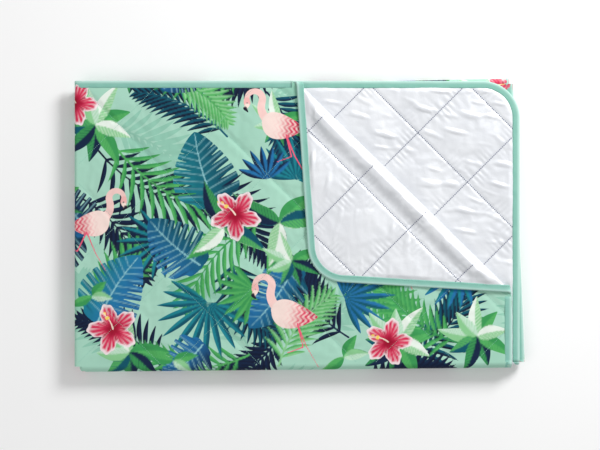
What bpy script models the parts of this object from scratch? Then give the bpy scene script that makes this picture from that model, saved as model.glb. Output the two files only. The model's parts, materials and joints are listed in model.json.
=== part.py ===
"""A quilted camp blanket, folded away: in half with its print outwards, then in three, with one corner of its top layer turned back.

Units are metres and +Z is up. Each third of the fold is a pair of layers joined by a roll at the left: printed cloth outside, wadding between, silver
backing inside. The thirds are joined by wraps of the same three sheets at the front and at the back, and a mint tape binds every cut edge.
Plan sizes are measured from the left roll (x) and from the front fold at the left (y), and the root empty then centres the whole bundle.
"""

import math

import bmesh
import bpy
from mathutils import Matrix, Vector

# ---------------------------------------------------------------- driving dimensions
# the bundle in plan
TOP_WIDTH = 0.750  # left roll to the bound right edge of the top layer
TOP_DEPTH = 0.500  # front fold to the bound back edge of the top third, at the left
SECOND_LAYER_SHOWS = 0.014  # how far the second layer reaches past the top one, at the right
FRONT_FOLD_SLANT = math.radians(0.57)
BACK_FOLD_STEPS_IN = 0.0104  # the back fold, at the left, from the top third's back edge
BACK_FOLD_SLANT = math.radians(1.19)
MIDDLE_LEFT_X = 0.009  # left roll of the middle third, at the front
MIDDLE_LEFT_LEAN = math.radians(0.94)
MIDDLE_THIRD_SHOWS = 0.0242  # how far the middle third reaches past the top layer, at the front right
MIDDLE_RIGHT_LEAN = math.radians(2.46)
BOTTOM_STEPS_IN = 0.006  # the bottom third lies this much inside the middle one, at the right
BOTTOM_FRONT_Y = 0.007  # bound front edge of the bottom third, where it meets the left side

# the corner that is turned back
CREASE_ALONG_BACK = 0.370  # from the top layer's corner to the crease, along its back edge
CREASE_ALONG_RIGHT = 0.363  # the same, along its right edge
CREASE_TAKE_UP = 0.041  # cloth that the crease's own roll takes from the corner's reach
CREASE_SLIP = 0.0075  # how far the corner slips back along the crease

# one quilted layer
WADDING_THICK = 0.0030
FACE_THICK = 0.0005
BACKING_THICK = 0.0005
TAPE_THICK = 0.0005
TAPE_WIDTH = 0.0125
CORNER_RADIUS = 0.064

# clearances
SKIN_GAP = 0.0003  # between two sheets that touch
LAYER_GAP = 0.0004  # between two layers that touch
FOLD_GAP = 0.0003  # between a layer's end and the fold's axis

# fineness
ROLL_STEPS = 8  # facets round half a turn
CORNER_STEPS = 8  # facets round a bound corner
BEYOND = 0.080  # how far cutters and blanks reach past the bundle

# ---------------------------------------------------------------- sizes that follow
LAYER_THICK = WADDING_THICK + 2 * (SKIN_GAP + max(FACE_THICK, BACKING_THICK, TAPE_THICK))
PITCH = LAYER_THICK + LAYER_GAP
INNER_RADIUS = PITCH / 2  # middle of the wadding, in a fold of two layers
OUTER_RADIUS = INNER_RADIUS + PITCH  # the same, in the wrap that goes round that fold
ROLL_REACH = INNER_RADIUS + LAYER_THICK / 2  # from a two-layer fold's axis to its outside
WRAP_REACH = OUTER_RADIUS + LAYER_THICK / 2  # from a four-layer fold's axis to its outside

BOTTOM_Z, MIDDLE_Z, TOP_Z = (ROLL_REACH + 2 * PITCH * n for n in range(3))  # middle of each third
BACK_AXIS_Z, FRONT_AXIS_Z, CREASE_Z = (z + PITCH for z in (BOTTOM_Z, MIDDLE_Z, TOP_Z))

COLOURS = {
    "face": (0.42, 0.66, 0.56, 1.0),
    "wadding": (0.86, 0.86, 0.84, 1.0),
    "backing": (0.62, 0.64, 0.67, 1.0),
    "binding": (0.25, 0.54, 0.46, 1.0),
}
METALLIC = {"backing": 0.6}
ROUGHNESS = {"backing": 0.35}
CLOTH_ROUGHNESS = 0.85


# ---------------------------------------------------------------- plan geometry
def edge(point, angle):
    """A straight edge through a point, at an angle from +X. The cloth lies on its left."""
    return Vector(point), Vector((math.cos(angle), math.sin(angle)))


def through(a, b):
    """The straight edge from one point to another."""
    return a, (b - a).normalized()


def moved_in(line, distance):
    point, along = line
    return point + distance * Vector((-along.y, along.x)), along


def crossing(a, b):
    """The point where two edges meet."""
    (p, d), (q, e) = a, b
    between = q - p
    return p + d * (between.cross(e) / d.cross(e))


def rounded(corner, before, after, radius):
    """The points of an arc that rounds a corner between two edges that turn left."""
    turn = before[1].angle_signed(after[1]) * -1
    reach = radius * math.tan(turn / 2)
    left = Vector((-before[1].y, before[1].x))
    centre = corner - before[1] * reach + left * radius
    steps = [turn * n / CORNER_STEPS for n in range(CORNER_STEPS + 1)]
    return [centre + Matrix.Rotation(a, 2) @ (-left * radius) for a in steps]


def outline(edges):
    """A closed plan outline from (edge, how far it moves in, radius of the corner after it)."""
    lines = [moved_in(line, inset) for line, inset, _ in edges]
    points = []
    for n, (_, inset, radius) in enumerate(edges):
        before, after = lines[n], lines[(n + 1) % len(lines)]
        corner = crossing(before, after)
        points += rounded(corner, before, after, radius - inset) if radius else [corner]
    return points


QUARTER = math.pi / 2
FRONT_FOLD = edge((0, 0), FRONT_FOLD_SLANT)
FRONT_AXIS = moved_in(FRONT_FOLD, WRAP_REACH)
BACK_FOLD = edge((0, TOP_DEPTH - BACK_FOLD_STEPS_IN), BACK_FOLD_SLANT + math.pi)
BACK_AXIS = moved_in(BACK_FOLD, WRAP_REACH)
BACK_EDGE = edge((0, TOP_DEPTH), math.pi)
TOP_RIGHT = edge((TOP_WIDTH, 0), QUARTER)
SECOND_RIGHT = edge((TOP_WIDTH + SECOND_LAYER_SHOWS, 0), QUARTER)
MIDDLE_RIGHT = edge((TOP_WIDTH + MIDDLE_THIRD_SHOWS, 0), QUARTER + MIDDLE_RIGHT_LEAN)
BOTTOM_RIGHT = moved_in(MIDDLE_RIGHT, BOTTOM_STEPS_IN)
BOTTOM_FRONT = edge((0, BOTTOM_FRONT_Y), BACK_FOLD_SLANT)
PAST_LEFT = edge((-BEYOND, 0), -QUARTER)
LEFT_ROLLS = {
    "top": edge((0, 0), -QUARTER),
    "middle": edge((MIDDLE_LEFT_X, 0), MIDDLE_LEFT_LEAN - QUARTER),
    "bottom": edge((MIDDLE_LEFT_X, 0), MIDDLE_LEFT_LEAN - QUARTER),
}
MIDDLE_HEIGHTS = {"top": TOP_Z, "middle": MIDDLE_Z, "bottom": BOTTOM_Z}

TOP_CORNER = Vector((TOP_WIDTH, TOP_DEPTH))
CREASE_BACK = TOP_CORNER - Vector((CREASE_ALONG_BACK, 0))
CREASE_RIGHT = TOP_CORNER - Vector((0, CREASE_ALONG_RIGHT))
CREASE = through(CREASE_RIGHT, CREASE_BACK)  # the top layer lies on its left
CREASE_AXIS = moved_in(CREASE, ROLL_REACH)


def third_outline(third, inset, at_folds=FOLD_GAP):
    """The plan of one third. Bound edges move in by inset, and a fold's side stops just short of its axis."""
    front_end, back_end = (FRONT_AXIS, at_folds, 0), (BACK_AXIS, at_folds, 0)
    left = (PAST_LEFT, 0, 0)
    if third == "top":
        return outline([front_end, (SECOND_RIGHT, inset, CORNER_RADIUS), (BACK_EDGE, inset, 0), left])
    if third == "middle":
        return outline([front_end, (MIDDLE_RIGHT, inset, 0), back_end, left])
    return outline([(BOTTOM_FRONT, inset, CORNER_RADIUS), (BOTTOM_RIGHT, inset, 0), back_end, left])


def past_top_layer(inset):
    """The plan of what the top layer leaves bare: all that lies right of its edge and of the crease."""
    right = moved_in(TOP_RIGHT, inset)
    crease = moved_in(CREASE_AXIS, FOLD_GAP)
    far_x, far_y = TOP_WIDTH + 2 * BEYOND, TOP_DEPTH + BEYOND
    low, high = edge((0, -BEYOND), 0), edge((0, far_y), math.pi)
    return [
        crossing(right, low),
        Vector((far_x, -BEYOND)),
        Vector((far_x, far_y)),
        crossing(crease, high),
        crossing(crease, right),
    ]


def flap_corner():
    """Where the turned corner lies: mirrored in the crease's axis, less what the roll takes up."""
    point, along = CREASE_AXIS
    away = Vector((along.y, -along.x))
    from_axis = TOP_CORNER - point
    mirrored = point + along * from_axis.dot(along) - away * from_axis.dot(away)
    return mirrored + away * CREASE_TAKE_UP + along * CREASE_SLIP


def flap_outline(inset, at_crease=FOLD_GAP):
    """The plan of the turned corner, from the crease's axis to its two bound edges."""
    corner = flap_corner()
    back_edge, right_edge = through(CREASE_BACK, corner), through(corner, CREASE_RIGHT)
    return outline([(back_edge, inset, CORNER_RADIUS), (right_edge, inset, 0), (CREASE_AXIS, at_crease, 0)])


# ---------------------------------------------------------------- solids
for old in list(bpy.data.objects):
    bpy.data.objects.remove(old, do_unlink=True)
bundle = bpy.data.collections.new("camp_blanket")
cutters = bpy.data.collections.new("cutters")
for made in (bundle, cutters):
    bpy.context.scene.collection.children.link(made)


def empty(name, place, parent=None):
    made = bpy.data.objects.new(name, None)
    made.empty_display_size = 0.03
    bundle.objects.link(made)
    made.parent = parent
    made.location = place - (parent.matrix_world.translation if parent else Vector())
    bpy.context.view_layer.update()
    return made


def at(line, height):
    return Vector((*line[0], height))


root = empty("bundle_centre", Vector())
back_hinge = empty("back_fold_axis", at(BACK_AXIS, BACK_AXIS_Z), root)
front_hinge = empty("front_fold_axis", at(FRONT_AXIS, FRONT_AXIS_Z), back_hinge)
crease_hinge = empty("crease_axis", at(CREASE_AXIS, CREASE_Z), front_hinge)
HOLDERS = {"bottom": root, "middle": back_hinge, "top": front_hinge, "corner": crease_hinge}


def prism(name, points, length, matrix):
    """A solid from a flat outline, which runs length/2 each way along the matrix's Z axis."""
    curve = bpy.data.curves.new(name, "CURVE")
    curve.dimensions, curve.fill_mode, curve.extrude = "2D", "BOTH", length / 2
    spline = curve.splines.new("POLY")
    spline.points.add(len(points) - 1)
    for point, (x, y) in zip(spline.points, points):
        point.co = (x, y, 0, 1)
    spline.use_cyclic_u = True
    drawn = bpy.data.objects.new(name, curve)
    bpy.context.scene.collection.objects.link(drawn)
    graph = bpy.context.evaluated_depsgraph_get()
    mesh = bpy.data.meshes.new_from_object(drawn.evaluated_get(graph))
    bpy.data.objects.remove(drawn)
    bpy.data.curves.remove(curve)
    mesh.transform(matrix)
    shape = bmesh.new()
    shape.from_mesh(mesh)
    bmesh.ops.remove_doubles(shape, verts=shape.verts, dist=1e-6)
    bmesh.ops.recalc_face_normals(shape, faces=shape.faces)
    shape.to_mesh(mesh)
    shape.free()
    mesh.name = name
    made = bpy.data.objects.new(name, mesh)
    cutters.objects.link(made)
    made.hide_render, made.display_type = True, "WIRE"
    made.parent = root
    return made


def slab(name, points, low, high):
    return prism(name, points, high - low, Matrix.Translation((0, 0, (low + high) / 2)))


def combine(target, tool, operation):
    boolean = target.modifiers.new(f"{operation.lower()}_{tool.name}", "BOOLEAN")
    boolean.operation, boolean.solver, boolean.object = operation, "EXACT", tool


def finish(made, name, sheet, holder):
    """Makes a blank into the named part: its collection, its material and the axis that it turns on."""
    cutters.objects.unlink(made)
    bundle.objects.link(made)
    made.hide_render, made.display_type = False, "TEXTURED"
    made.name = made.data.name = name
    made.parent = HOLDERS[holder]
    made.matrix_parent_inverse = made.parent.matrix_world.inverted()
    material = bpy.data.materials.new(name)
    material.use_nodes = True
    shader = material.node_tree.nodes["Principled BSDF"]
    shader.inputs["Base Color"].default_value = COLOURS[sheet]
    shader.inputs["Metallic"].default_value = METALLIC.get(sheet, 0.0)
    shader.inputs["Roughness"].default_value = ROUGHNESS.get(sheet, CLOTH_ROUGHNESS)
    made.data.materials.clear()
    made.data.materials.append(material)
    made.data.shade_smooth()
    made.data.set_sharp_from_angle(angle=math.radians(30))


def sheet_span(sheet, outwards=1):
    """How far a sheet lies from the wadding's middle, nearest and furthest. outwards is -1 for one inside the fold."""
    half = WADDING_THICK / 2
    skin = half + SKIN_GAP
    spans = {
        "wadding": (-half, half),
        "face": (skin, skin + FACE_THICK),
        "backing": (skin, skin + BACKING_THICK),
        "tape": (-skin - TAPE_THICK, skin + TAPE_THICK),
        "tape_hollow": (-skin, skin),
    }
    low, high = spans[sheet]
    return (low, high) if outwards > 0 else (-high, -low)


def half_turn(radius):
    """Points round half a circle, from below to above, bulging to +X."""
    angles = [math.pi * (n / ROLL_STEPS - 0.5) for n in range(ROLL_STEPS + 1)]
    return [Vector((radius * math.cos(a), radius * math.sin(a))) for a in angles]


def fold_profile(radius, sheet, outwards, legs):
    """The section of a sheet that turns half round at a radius, with straight legs if it has any."""
    near, far = (radius + d for d in sheet_span(sheet, outwards))
    outer, inner = half_turn(far), half_turn(near)
    if legs:
        outer = [Vector((-legs, -far)), *outer, Vector((-legs, far))]
        inner = [Vector((-legs, -near)), *inner, Vector((-legs, near))]
    return outer + inner[::-1]


def folded_blank(name, third, sheet, outwards=1):
    """A sheet folded in half round a third's left roll, still too long and too wide."""
    points = fold_profile(INNER_RADIUS, sheet, outwards, TOP_WIDTH + 2 * BEYOND)
    axis, along = moved_in(LEFT_ROLLS[third], ROLL_REACH)
    out = Vector((along.y, -along.x))
    length = 2 * (TOP_DEPTH + BEYOND)
    return prism(name, points, length, axes(out, Vector((*axis, MIDDLE_HEIGHTS[third]))))


def axes(out, origin):
    """A frame whose X points out of a fold in plan, whose Y is up and whose Z runs along the fold."""
    x, y = Vector((*out, 0)), Vector((0, 0, 1))
    z = x.cross(y)
    matrix = Matrix((x, y, z)).transposed().to_4x4()
    matrix.translation = origin
    return matrix


def wrap_blank(name, line, height, radius, sheet, outwards, ends, legs=0):
    """Half a tube of one sheet round a fold's axis, between two places along it."""
    points = fold_profile(radius, sheet, outwards, legs)
    start, stop = ends
    out = Vector((line[1].y, -line[1].x))
    middle = line[0] + line[1] * (start + stop) / 2
    return prism(name, points, abs(stop - start), axes(out, Vector((*middle, height))))


def along(line, other):
    """How far along one edge it meets another."""
    return (crossing(line, other) - line[0]).dot(line[1])


FLOOR, CEILING = -BEYOND, CREASE_Z + BEYOND


def plan_slab(name, points):
    """A cutter with a plan outline, taller than the whole bundle."""
    return slab(f"plan_{name}", points, FLOOR, CEILING)


def bare_corner(name, inset):
    """A cutter for what the top layer leaves bare, which spares the layer under it."""
    return slab(f"bare_{name}", past_top_layer(inset), TOP_Z, CEILING)


# ---------------------------------------------------------------- the three folded thirds
UNDER_TAPE = TAPE_THICK + SKIN_GAP
BESIDE_TAPE = TAPE_WIDTH + SKIN_GAP
INSETS = {"face": BESIDE_TAPE, "wadding": UNDER_TAPE, "backing": BESIDE_TAPE}
PAST_FOLD = -BEYOND / 2  # a cutter's reach past a fold's axis, or past a bound edge


def add_folded_sheet(third, sheet, outwards):
    """One sheet of one third, both layers in one piece, cut to the third's plan."""
    name = f"{sheet}_{third}"
    made = folded_blank(name, third, sheet, outwards)
    combine(made, plan_slab(name, third_outline(third, INSETS[sheet])), "INTERSECT")
    if third == "top":
        combine(made, bare_corner(name, INSETS[sheet]), "DIFFERENCE")
    finish(made, name, sheet, third)


for third in ("top", "middle", "bottom"):
    add_folded_sheet(third, "face", 1)
    add_folded_sheet(third, "wadding", 1)
    add_folded_sheet(third, "backing", -1)


def add_folded_tape(third, name):
    """The tape that runs round a third's bound edges and through its left roll, folded over the wadding."""
    made = folded_blank(name, third, "tape")
    combine(made, plan_slab(name, third_outline(third, 0)), "INTERSECT")
    if third == "top":
        combine(made, bare_corner(name, TAPE_WIDTH), "DIFFERENCE")
    hollow = folded_blank(f"hollow_{name}", third, "tape_hollow")
    combine(hollow, plan_slab(hollow.name, third_outline(third, TAPE_THICK, PAST_FOLD)), "INTERSECT")
    combine(made, hollow, "DIFFERENCE")
    combine(made, plan_slab(f"middle_{name}", third_outline(third, TAPE_WIDTH, PAST_FOLD)), "DIFFERENCE")
    finish(made, name, "binding", third)


add_folded_tape("top", "binding_top_back_and_right")
add_folded_tape("bottom", "binding_bottom_front_and_right")


def add_straight_tape(name, third, line, side):
    """A straight stretch of tape over the edge of a third's upper (1) or lower (-1) layer, from fold to fold."""
    low, high = sheet_span("tape")
    base, cap = sheet_span("tape_hollow")
    points = [(0, low), (0, high), (TAPE_WIDTH, high), (TAPE_WIDTH, cap)]
    points += [(TAPE_THICK, cap), (TAPE_THICK, base), (TAPE_WIDTH, base), (TAPE_WIDTH, low)]
    inwards = Vector((-line[1].y, line[1].x))
    middle = line[0] + line[1] * TOP_DEPTH / 2
    origin = Vector((*middle, MIDDLE_HEIGHTS[third] + side * INNER_RADIUS))
    made = prism(name, points, TOP_DEPTH + BEYOND, axes(inwards, origin))
    combine(made, plan_slab(name, third_outline(third, PAST_FOLD)), "INTERSECT")
    if third == "top":
        combine(made, bare_corner(name, PAST_FOLD), "DIFFERENCE")
    finish(made, name, "binding", third)


add_straight_tape("binding_top_layer_right", "top", TOP_RIGHT, 1)
add_straight_tape("binding_middle_upper_right", "middle", MIDDLE_RIGHT, 1)
add_straight_tape("binding_middle_lower_right", "middle", MIDDLE_RIGHT, -1)


# ---------------------------------------------------------------- the turned corner
FLAP_Z = CREASE_Z + INNER_RADIUS


def flap_slab(name, sheet, inset, side=1, at_crease=FOLD_GAP):
    low, high = sheet_span(sheet, side)
    return slab(name, flap_outline(inset, at_crease), FLAP_Z + low, FLAP_Z + high)


for sheet, side in (("face", -1), ("wadding", 1), ("backing", 1)):
    flap_sheet = flap_slab(f"{sheet}_corner", sheet, INSETS[sheet], side)
    finish(flap_sheet, flap_sheet.name, sheet, "corner")

flap_tape = flap_slab("binding_corner", "tape", 0)
combine(flap_tape, flap_slab("hollow_binding_corner", "tape_hollow", TAPE_THICK, 1, PAST_FOLD), "DIFFERENCE")
combine(flap_tape, plan_slab("middle_binding_corner", flap_outline(TAPE_WIDTH, PAST_FOLD)), "DIFFERENCE")
finish(flap_tape, "binding_corner", "binding", "corner")


# ---------------------------------------------------------------- wraps that join the thirds
def add_wrap(fold, line, height, radius, face_side, ends, holder, bound):
    """The sheets and the tape where they turn round a fold. bound gives each bound end's suffix: first, last."""
    first, last = ends
    for sheet, side in (("face", face_side), ("wadding", 1), ("backing", -face_side)):
        name = f"{sheet}_{fold}"
        inset = INSETS[sheet]
        span = first + inset * ("first" in bound), last - inset * ("last" in bound)
        finish(wrap_blank(name, line, height, radius, sheet, side, span), name, sheet, holder)
    for end, suffix in bound.items():
        name = f"binding_{fold}{suffix}"
        outer, inwards = (first, 1) if end == "first" else (last, -1)
        span = (outer, outer + inwards * TAPE_WIDTH)
        made = wrap_blank(name, line, height, radius, "tape", 1, span)
        span = (outer + inwards * TAPE_THICK, outer + inwards * 2 * TAPE_WIDTH)
        hollow = wrap_blank(f"hollow_{name}", line, height, radius, "tape_hollow", 1, span, TAPE_WIDTH)
        combine(made, hollow, "DIFFERENCE")
        finish(made, name, "binding", holder)


LEFT_AXIS = moved_in(LEFT_ROLLS["middle"], ROLL_REACH)
for which, radius, face_side, right in (("outer", OUTER_RADIUS, 1, TOP_RIGHT), ("inner", INNER_RADIUS, -1, SECOND_RIGHT)):
    span = along(FRONT_AXIS, LEFT_AXIS), along(FRONT_AXIS, right)
    fold = f"front_{which}_fold"
    add_wrap(fold, FRONT_AXIS, FRONT_AXIS_Z, radius, face_side, span, "middle", {"last": ""})
    span = along(BACK_AXIS, BOTTOM_RIGHT), along(BACK_AXIS, LEFT_AXIS)
    fold = f"back_{which}_fold"
    add_wrap(fold, BACK_AXIS, BACK_AXIS_Z, radius, face_side, span, "bottom", {"first": ""})

# The crease's roll stops where its own reach would pass the top layer's bound edges.
span = [along(CREASE_AXIS, moved_in(line, ROLL_REACH)) for line in (TOP_RIGHT, BACK_EDGE)]
add_wrap("crease", CREASE_AXIS, CREASE_Z, INNER_RADIUS, -1, span, "top", {"first": "_right", "last": "_back"})


# ---------------------------------------------------------------- centre the bundle
def centre_on_floor():
    """Moves the root so that the middle of the bundle's underside is the origin."""
    bpy.context.view_layer.update()
    graph = bpy.context.evaluated_depsgraph_get()
    corners = []
    for made in bundle.objects:
        if made.type == "MESH":
            seen = made.evaluated_get(graph)
            corners += [seen.matrix_world @ vertex.co for vertex in seen.data.vertices]
    lows, highs = (Vector([pick(c[n] for c in corners) for n in range(3)]) for pick in (min, max))
    middle = (lows + highs) / 2
    root.location = (-middle.x, -middle.y, -lows.z)
    bpy.context.view_layer.update()
    print("size", tuple(round(v, 5) for v in highs - lows))


centre_on_floor()
for hinge in (back_hinge, front_hinge, crease_hinge):
    print(hinge.name, tuple(round(v, 6) for v in hinge.matrix_world.translation))
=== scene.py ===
# %% [markdown]
# # A quilted camp blanket, folded away
# The blanket is three sheets sewn together: a printed cloth outside, soft wadding between, and a silver film
# inside that throws body heat back. It is folded in half, then in three, and one corner of the top layer is
# turned back. The imported model already holds where every layer lies and where every fold turns, so this
# script only dresses that frame: it never moves a part. We start by loading the frame.

# %% Load the frame
import json
import math

import bmesh
import bpy
import numpy as np
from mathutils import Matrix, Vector


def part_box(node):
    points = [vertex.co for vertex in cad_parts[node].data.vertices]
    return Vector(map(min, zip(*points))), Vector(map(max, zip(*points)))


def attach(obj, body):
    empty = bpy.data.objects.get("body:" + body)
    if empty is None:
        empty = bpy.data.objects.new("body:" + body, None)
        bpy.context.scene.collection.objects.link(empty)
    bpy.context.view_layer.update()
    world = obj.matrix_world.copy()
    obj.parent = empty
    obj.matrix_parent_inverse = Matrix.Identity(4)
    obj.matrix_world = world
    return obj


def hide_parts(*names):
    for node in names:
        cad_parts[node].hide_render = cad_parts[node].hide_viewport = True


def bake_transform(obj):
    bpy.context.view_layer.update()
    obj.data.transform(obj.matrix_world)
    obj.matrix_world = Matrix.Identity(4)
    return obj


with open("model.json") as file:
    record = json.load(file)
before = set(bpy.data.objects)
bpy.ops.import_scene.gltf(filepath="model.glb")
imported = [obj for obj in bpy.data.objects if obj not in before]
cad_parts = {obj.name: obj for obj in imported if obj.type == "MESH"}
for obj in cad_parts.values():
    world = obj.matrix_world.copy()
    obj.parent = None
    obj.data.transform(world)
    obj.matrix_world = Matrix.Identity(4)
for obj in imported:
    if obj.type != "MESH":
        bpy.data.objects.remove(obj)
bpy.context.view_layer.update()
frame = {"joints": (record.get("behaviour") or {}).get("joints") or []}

MM = 0.001
THIRDS = ("top", "middle", "bottom")

# %% [markdown]
# ## The fold lines, seen from above
# Every panel of the blanket is bounded by straight lines: the left rolls, the fold axes, the bound edges and
# the crease of the turned corner. A line is a point and a direction, with the cloth on its left. Two lines
# meet in a point, so panels that share a line share an edge. The lines come from the joints' axes and the
# parts' boxes.

# %% Lines and where they meet
def line(point, angle):
    """A plan line through a point, at an angle from +X."""
    return np.array(point[:2], float), np.array([math.cos(angle), math.sin(angle)])


def left_of(direction):
    """The direction turned a quarter to the left."""
    return np.array([-direction[1], direction[0]])


def moved_in(edge, distance):
    """The same line, moved to its left."""
    return edge[0] + distance * left_of(edge[1]), edge[1]


def inwards_from(edge, plan):
    """How far plan points lie to the left of a line."""
    return (plan - edge[0]) @ left_of(edge[1])


def meet(a, b):
    """Where two lines cross: p + d * cross(q - p, e) / cross(d, e)."""
    (p, d), (q, e) = a, b
    return p + d * np.dot(q - p, left_of(e)) / np.dot(d, left_of(e))


def hinge(name):
    """A joint's axis as a plan line, and its height."""
    found = next(j for j in frame["joints"] if j["name"] == name)
    x, y, z = found["pos_m"]
    along = found["axis"]
    return line((x, y), math.atan2(along[1], along[0])), z


FRONT_AXIS, FRONT_Z = hinge("front_fold")
BACK_AXIS, BACK_Z = hinge("back_fold")
CREASE_AXIS, CREASE_Z = hinge("corner_crease")
PITCH = (FRONT_Z - BACK_Z) / 2  # from one layer of cloth to the next
MIDDLE_Z = {"bottom": BACK_Z - PITCH, "middle": FRONT_Z - PITCH, "top": CREASE_Z - PITCH}

LAYER = 4.6 * MM  # one layer: print, wadding and film
SKIN = PITCH / 2 + LAYER / 2  # from the middle of a folded pair to its outside
INSIDE = PITCH / 2 - LAYER / 2  # the same, to the film inside
WRAP = SKIN + PITCH  # from a fold's axis to the outside of the wrap round four layers
QUARTER = math.pi / 2
MIDDLE_LEFT_LEAN = math.radians(0.94)
MIDDLE_RIGHT_LEAN = math.radians(2.46)
BOTTOM_STEPS_IN = 6 * MM
CORNER_RADIUS = 64 * MM
TAPE_WIDTH = 12.5 * MM

low_mid, high_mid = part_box("face_middle")
low_tape, high_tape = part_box("binding_middle_upper_right")
low_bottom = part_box("binding_bottom_front_and_right")[0]
LEFT_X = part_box("face_top")[0].x
BACK_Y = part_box("binding_top_back_and_right")[1].y
SECOND_RIGHT = line((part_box("binding_top_back_and_right")[1].x, 0), QUARTER)
TOP_RIGHT = line((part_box("binding_top_layer_right")[1].x, 0), QUARTER)
BACK_EDGE = line((0, BACK_Y), math.pi)
MIDDLE_RIGHT = line((high_tape.x, low_tape.y), QUARTER + MIDDLE_RIGHT_LEAN)
BOTTOM_RIGHT = moved_in(MIDDLE_RIGHT, BOTTOM_STEPS_IN)
BOTTOM_FRONT = line((low_bottom.x, low_bottom.y), math.atan2(-BACK_AXIS[1][1], -BACK_AXIS[1][0]))
LEFT_AXIS = {
    "top": line((LEFT_X + SKIN, 0), -QUARTER),
    "middle": moved_in(line((low_mid.x, high_mid.y), MIDDLE_LEFT_LEAN - QUARTER), SKIN),
    "bottom": moved_in(line((low_mid.x, high_mid.y), MIDDLE_LEFT_LEAN - QUARTER), SKIN),
}
print("layer pitch", round(PITCH / MM, 2), "mm")
print("crease ends", meet(CREASE_AXIS, TOP_RIGHT), meet(CREASE_AXIS, BACK_EDGE))

# %% [markdown]
# ## From a grid of points to a mesh
# All the cloth is made the same way. A function gives a whole grid of points at once, and one helper turns
# that grid into faces. If the faces would look inwards it turns them round, so the outside always faces out.

# %% The grid helper
def smooth(x, low, high):
    """0 below low, 1 above high, and 3t^2 - 2t^3 between."""
    t = np.clip((x - low) / (high - low), 0, 1)
    return t * t * (3 - 2 * t)


def mix(a, b, t):
    return a + (b - a) * t


def at_height(plan, height):
    """Plan points and their heights, as points of the frame."""
    return np.concatenate([plan, np.broadcast_to(height, plan.shape[:-1])[..., None]], axis=-1)


def upright(plan, side=1.0):
    """One way for every point: straight up (1) or down (-1)."""
    return np.broadcast_to([0.0, 0.0, side], plan.shape[:-1] + (3,))


def grid_faces(rows, columns, closed=False):
    """The corner numbers of every square of a grid. closed joins the last column to the first."""
    index = np.arange(rows * columns).reshape(rows, columns)
    if closed:
        index = np.concatenate([index, index[:, :1]], axis=1)
    corners = [index[:-1, :-1], index[:-1, 1:], index[1:, 1:], index[1:, :-1]]
    return np.stack(corners, axis=-1).reshape(-1, 4)


def piece(name, points, faces, material, outwards=None, values=None):
    """A mesh object from points and faces. outwards gives the way that each point should face."""
    points = np.asarray(points, float).reshape(-1, 3)
    faces = np.asarray(faces)
    if outwards is not None:
        a, b, c = (points[faces[:, n]] for n in range(3))
        wanted = np.asarray(outwards).reshape(-1, 3)[faces[:, 0]]
        facing = np.einsum("ij,ij->i", np.cross(b - a, c - a), wanted)
        if facing.sum() < 0:
            faces = faces[:, ::-1]
    mesh = bpy.data.meshes.new(name)
    mesh.from_pydata(points.tolist(), [], faces.tolist())
    mesh.validate()
    mesh.shade_smooth()
    for label, value in (values or {}).items():
        kinds = {2: ("FLOAT2", "vector"), 4: ("FLOAT_COLOR", "color")}
        kind, field = kinds[value.shape[-1]]
        attribute = mesh.attributes.new(label, kind, "POINT")
        attribute.data.foreach_set(field, value.astype(np.float32).ravel())
    made = bpy.data.objects.new(name, mesh)
    bpy.context.scene.collection.objects.link(made)
    made.data.materials.append(material)
    return made

# %% [markdown]
# ## How quilted cloth puckers
# Quilting draws the three sheets together along crossing lines of stitches, and the cloth between the lines
# is left a little too long, so it swells and puckers. A cloth simulation finds those shapes better than a
# formula: a square patch is held along its stitch lines and grows a few hundredths. The patch holds four
# diamonds each way, and as every edge is a stitch line, it can be laid edge to edge over the whole blanket.

# %% Grow the quilted patch
DIAMOND = 120 * MM  # between two lines of stitches
PATCH_DIAMONDS = 4
PATCH_STEPS = 44  # squares across one diamond
PATCH_STEP = DIAMOND / PATCH_STEPS
PATCH_COUNT = PATCH_DIAMONDS * PATCH_STEPS + 1
PUCKER_LIMIT = 9 * MM


def plain_swelling():
    """Height = the product of two half waves per diamond, raised to a power below one."""
    u = np.arange(PATCH_COUNT) * math.pi / PATCH_STEPS
    swell = np.abs(np.sin(u))[:, None] * np.abs(np.sin(u))[None, :]
    shift = np.zeros((PATCH_COUNT, PATCH_COUNT, 3))
    shift[..., 2] = 5 * MM * swell ** 0.6
    return shift


def random_waves(x, y, seed):
    """The sum of sixty plane waves of random direction, phase and length, 13 to 80 mm long."""
    rng = np.random.default_rng(seed)
    total = np.zeros_like(x)
    for _ in range(60):
        count, heading, phase = rng.uniform(1.5, 9), rng.uniform(0, 2 * math.pi), rng.uniform(0, 2 * math.pi)
        across = math.cos(heading) * x + math.sin(heading) * y
        total += np.sin(2 * math.pi * count * across / DIAMOND + phase)
    return total


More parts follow.
